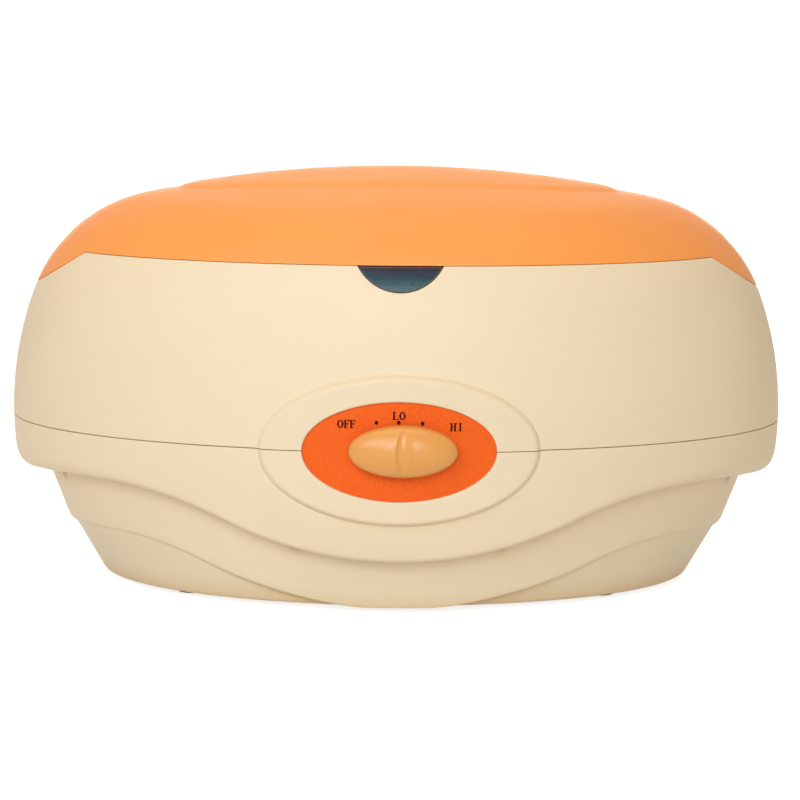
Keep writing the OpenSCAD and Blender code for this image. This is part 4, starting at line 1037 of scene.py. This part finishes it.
def dial_paint(name, rgb):
    """Stippled paint, with paler specks."""
    m = Look(name)
    c = linear(*rgb)
    fine = m.noise(1900.0, 2.0, 0.7)
    coarse = m.noise(600.0, 3.0, 0.65)
    tone = m.ramp(fine, [(0.36, shade_of(c, 0.93)), (0.5, c), (0.68, linear(250, 118, 44))])
    base = m.blend(1.0, tone, m.tones(coarse, WHITE, 0.965, 1.0, 0.35, 0.65), "MULTIPLY")
    return m.finish(base, m.span(fine, 0.5, 0.72), m.bump(fine, 0.3, 0.00006), IOR=1.3)


def smoked(name):
    """Smoked lens over a woven screen, with painted light and shade by height: paler teal low down, darker
    purple-blue higher up, and a dark red painted shadow of the lid along the top.
    """
    m = Look(name)
    cloud = m.noise(260.0, 3.0, 0.6, (0.45, 1.0, 1.3))
    # Painted light and shade: the colour darkens going up, and its top stop is the lid's painted shadow.
    painted_shade_height = m.math("ADD", m.height(0.15395, 0.16545), m.span(cloud, -0.16, 0.16))
    base = m.ramp(painted_shade_height, [(0.0, linear(62, 84, 84)), (0.16, linear(76, 112, 124)),
                            (0.36, linear(52, 92, 100)), (0.6, linear(38, 66, 72)),
                            (0.78, linear(44, 54, 74)), (0.93, linear(34, 42, 60)),
                            (1.0, linear(48, 24, 18))])
    weave = []
    for axis in ("X", "Z"):
        w = m.add("ShaderNodeTexWave", {"Vector": m.coords}, bands_direction=axis, Scale=330.0,
                  Distortion=1.6, Detail=2.0, Detail_Scale=1.5)
        weave.append(w.outputs["Fac"])
    both = m.math("MULTIPLY", *weave)
    grain = m.math("ADD", both, m.noise(1300.0, 2.0, 0.7))
    tinted = m.blend(1.0, base, m.tones(grain, WHITE, 0.42, 1.0, 0.4, 0.85), "MULTIPLY")
    hue = m.ramp(m.noise(1500.0, 2.0, 0.7), [(0.4, (1.0, 0.62, 1.0, 1)), (0.5, (0.9, 0.92, 0.9, 1)),
                                            (0.6, (0.6, 1.0, 0.8, 1))])
    return m.finish(m.blend(1.0, tinted, hue, "MULTIPLY"), m.span(both, 0.28, 0.42),
                    m.bump(both, 0.25, 0.0001), IOR=1.34)


def lens_shadow_material():
    """Painted shadow: dark olive for the shadow in the gap round the lens, dark red along the top strip for
    the lid's shadow.
    """
    m = Look("lens_shadow_bands")
    fine = m.noise(900.0, 3.0)
    # Painted shadow colours: olive for the gap round the lens, dark red for the lid's shadow over the top
    # strip.
    low = m.ramp(fine, [(0.3, linear(58, 56, 36)), (0.7, linear(74, 70, 48))])
    high = m.ramp(fine, [(0.3, linear(62, 22, 14)), (0.7, linear(84, 34, 22))])
    return m.finish(m.blend(m.height(0.1640, 0.1647), low, high), m.span(fine, 0.45, 0.6),
                    m.bump(fine, 0.2, 0.00005))


def print_material():
    """Dark red ink."""
    m = Look("dial_print")
    fine = m.noise(2200.0, 2.0)
    ink = m.ramp(fine, [(0.3, linear(52, 3, 2)), (0.7, linear(80, 9, 6))])
    return m.finish(ink, m.span(fine, 0.6, 0.75), IOR=1.2)


def metal(name, rgb, rough, stretch, scale):
    """Brushed or plated metal, with lines along its stretch."""
    m = Look(name)
    lines = m.noise(scale, 4.0, 0.6, stretch)
    return m.finish(m.tones(lines, linear(*rgb), 0.86, 1.06), m.span(lines, rough - 0.08, rough + 0.12),
                    m.bump(lines, 0.25, 0.00008), Metallic=1.0)


def rubber(name, rgb, rough=0.7):
    m = Look(name)
    fine = m.noise(700.0, 4.0, 0.65)
    return m.finish(m.tones(fine, linear(*rgb), 0.75, 1.3), m.span(fine, rough - 0.1, rough + 0.15),
                    m.bump(fine, 0.35, 0.0001))


def felt(name, rgb):
    m = Look(name)
    fuzz = m.noise(420.0, 6.0, 0.75)
    tufts = m.add("ShaderNodeTexVoronoi", {"Vector": m.coords}, Scale=160.0).outputs["Distance"]
    mix = m.math("ADD", fuzz, tufts)
    return m.finish(m.tones(mix, linear(*rgb), 0.72, 1.12, 0.35, 0.95), 0.95, m.bump(mix, 0.8, 0.0005),
                    Sheen_Weight=0.4)


def glow(name, rgb, core):
    """Lamp cap, lit a little from within."""
    m = Look(name)
    cloud = m.noise(300.0, 2.0)
    return m.finish(m.tones(cloud, linear(*rgb), 0.85, 1.1), m.span(cloud, 0.08, 0.2),
                    Transmission_Weight=0.5, Emission_Color=linear(*core), Emission_Strength=0.25)


def sleeve(name, rgb):
    """Braided sleeve of the leads."""
    m = Look(name)
    w = m.add("ShaderNodeTexWave", {"Vector": m.coords}, bands_direction="DIAGONAL", Scale=260.0,
              Distortion=2.0)
    braid = w.outputs["Fac"]
    return m.finish(m.tones(braid, linear(*rgb), 0.7, 1.3, 0.2, 0.8), 0.7, m.bump(braid, 0.6, 0.0002))


# In the moulded looks, the colour after the grain is a painted shade tint, and the number after it is that
# painted shade's reach in metres.
MATS = {name: make(name, *look) for name, make, *look in (
    ("cream_shell", moulded, (237, 219, 185), 0.5, 0.012, 0.22, (0.91, 0.745, 0.56), 0.02),
    ("orange_lid", moulded, (250, 160, 78), 0.5, 0.014, 0.16, (0.9, 0.6, 0.4), 0.004, 1.42),
    ("dial_orange", dial_paint, (246, 97, 12)),
    ("knob_amber", moulded, (229, 159, 77), 0.32, 0.02, 0.14, (0.92, 0.66, 0.42), 0.004, 1.52),
    ("smoked_lens", smoked),
    ("tank_aluminium", metal, (214, 215, 217), 0.34, (1, 1, 18), 90.0),
    ("plated_steel", metal, (196, 198, 202), 0.3, (1, 1, 6), 200.0),
    ("brass", metal, (206, 172, 96), 0.3, (1, 1, 10), 160.0),
    ("black_rubber", rubber, (38, 38, 40)),
    ("silicone_pad", rubber, (178, 92, 58), 0.6),
    ("felt", felt, (212, 204, 182)),
    ("lamp_red", glow, (240, 110, 60), (255, 90, 30)),
    ("lamp_green", glow, (110, 205, 120), (60, 255, 90)),
    ("white_nylon", moulded, (232, 232, 226), 0.5, 0.02, 0.3),
    ("black_nylon", moulded, (42, 42, 44), 0.48, 0.08, 0.35),
    ("lead_sleeve", sleeve, (84, 84, 88)),
)}


slots = {p["node"]: p["material_slot"] for p in frame["record"]["subparts"]}
for node, obj in frame["nodes"].items():
    mat = MATS[slots[node]]
    if not obj.material_slots:
        obj.data.materials.append(mat)
    for s in obj.material_slots:
        s.material = mat

for piece, material, body, slot, nodes in (
    (upper_shell, "cream_shell", "housing", "cream_shell", ("upper_housing",)),
    (lower_shell, "cream_shell", "housing", "cream_shell", ("lower_housing",)),
    (boss_upper, "cream_shell", "housing", "cream_shell", ("upper_housing",)),
    (boss_lower, "cream_shell", "housing", "cream_shell", ("lower_housing",)),
    (dial_face, "dial_orange", "housing", "dial_orange", ("dial_plate",)),
    (dial_print, print_material(), "housing", "dial_orange", ("dial_plate",)),
    # dark bands of painted shadow round the lens
    (lens_shadow_bands, lens_shadow_material(), "housing", "smoked_lens", ("indicator_lens",)),
    (lens_window, "smoked_lens", "housing", "smoked_lens", ("indicator_lens",)),
    (lid_shell, "orange_lid", "lid", "orange_lid", ("lid",)),
    (knob_cap, "knob_amber", "knob", "knob_amber", ("control_knob",)),
):
    piece.data.materials.clear()
    piece.data.materials.append(MATS.get(material, material))
    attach(piece, body)
    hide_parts(*nodes)


# Floor, backdrop, light

STAGE_FRONT, STAGE_BACK, STAGE_R, STAGE_TOP, STAGE_HALF = -2.4, 2.2, 1.2, 4.0, 4.5
STAGE_RGB, STAGE_LIFT = (0.73, 0.75, 0.77), 0.78


def make_stage():
    """Pale floor that curves up into a backdrop far behind, in metres."""
    bend = np.linspace(0, math.pi / 2, 16)[1:]
    prof = [(STAGE_FRONT, 0.0), (STAGE_BACK, 0.0)]
    prof += [(STAGE_BACK + STAGE_R * math.sin(a), STAGE_R - STAGE_R * math.cos(a)) for a in bend]
    prof += [(STAGE_BACK + STAGE_R, STAGE_TOP)]
    verts = [(x, y, z) for y, z in prof for x in (-STAGE_HALF, STAGE_HALF)]
    faces = [(2 * i, 2 * i + 1, 2 * i + 3, 2 * i + 2) for i in range(len(prof) - 1)]
    mesh = bpy.data.meshes.new("stage_floor")
    mesh.from_pydata(verts, [], faces)
    obj = add_object("stage_floor", mesh)
    shade(obj)
    mat = bpy.data.materials.new("stage_floor")
    m = Nodes(mat, bare=True)
    light = m.add("ShaderNodeEmission", {"Strength": m.math("MULTIPLY", m.seen(), STAGE_LIFT)})
    dull = m.add("ShaderNodeBsdfDiffuse", {"Color": (*STAGE_RGB, 1)})
    both = m.add("ShaderNodeAddShader", {0: dull.outputs[0], 1: light.outputs[0]})
    m.add("ShaderNodeOutputMaterial", {"Surface": both.outputs[0]})
    mesh.materials.append(mat)


def make_world(level, colour):
    """Tinted light of its own strength, plain white where it is seen."""
    world = bpy.data.worlds.new("studio")
    bpy.context.scene.world = world
    w = Nodes(world, bare=True)
    seen = w.seen()
    back = w.add("ShaderNodeBackground", {"Color": w.blend(seen, (*colour, 1), (1, 1, 1, 1)),
                                          "Strength": w.span(seen, level, 1.0)})
    w.add("ShaderNodeOutputWorld", {"Surface": back.outputs[0]})


LIT = Vector((0, 0, 0.1))


def area(name, place, size, energy, colour):
    """Rectangular lamp at place, turned to the part, in metres and watts."""
    light = bpy.data.lights.new(name, "AREA")
    light.shape, light.size, light.size_y = "RECTANGLE", size[0], size[1]
    light.energy, light.color = energy, colour
    obj = add_object(name, light)
    obj.location = place
    obj.rotation_mode = "QUATERNION"
    obj.rotation_quaternion = (LIT - Vector(place)).to_track_quat("-Z", "Y")


make_stage()
make_world(0.33, (1.0, 0.79, 0.62))
area("key", (-0.95, -1.75, 1.35), (1.1, 1.1), 17.4, (0.76, 0.82, 1.0))
area("front", (0, -2.2, 0.84), (1.0, 1.0), 20.0, (0.90, 1.0, 1.0))
area("top", (-0.1, 0.1, 1.9), (1.2, 1.2), 10.0, (1.0, 0.72, 0.50))
area("back", (0, 1.5, 1.5), (1.2, 1.2), 4.0, (1.0, 0.85, 0.5))
area("rear", (0, 2.1, 0.24), (1.7, 0.4), 15.0, (1.0, 0.94, 0.84))


# Camera, as fitted to the photograph

FOCAL_PX, PICTURE_PX = 2351.1, 800
DISTANCE, HEIGHT, ASIDE = 1178.8, 268.6, 1.67
TILT, ROLL, YAW = 0.15221, 0.00946, 0.01333


def make_camera():
    data = bpy.data.cameras.new("camera")
    data.sensor_width, data.lens = 36.0, FOCAL_PX * 36.0 / PICTURE_PX
    data.clip_start, data.clip_end = 0.05, 20
    cam = add_object("camera", data)
    turn = Matrix.Rotation(-YAW, 4, "Z")
    place = turn @ Vector((ASIDE, -DISTANCE, HEIGHT)) + Vector((0, MID_Y, 0))
    tilt, roll = Matrix.Rotation(math.pi / 2 - TILT, 4, "X"), Matrix.Rotation(ROLL, 4, "Z")
    cam.matrix_world = Matrix.Translation(place * 0.001) @ turn @ tilt @ roll
    bpy.context.scene.camera = cam


make_camera()
bpy.context.scene.view_settings.view_transform = "Standard"
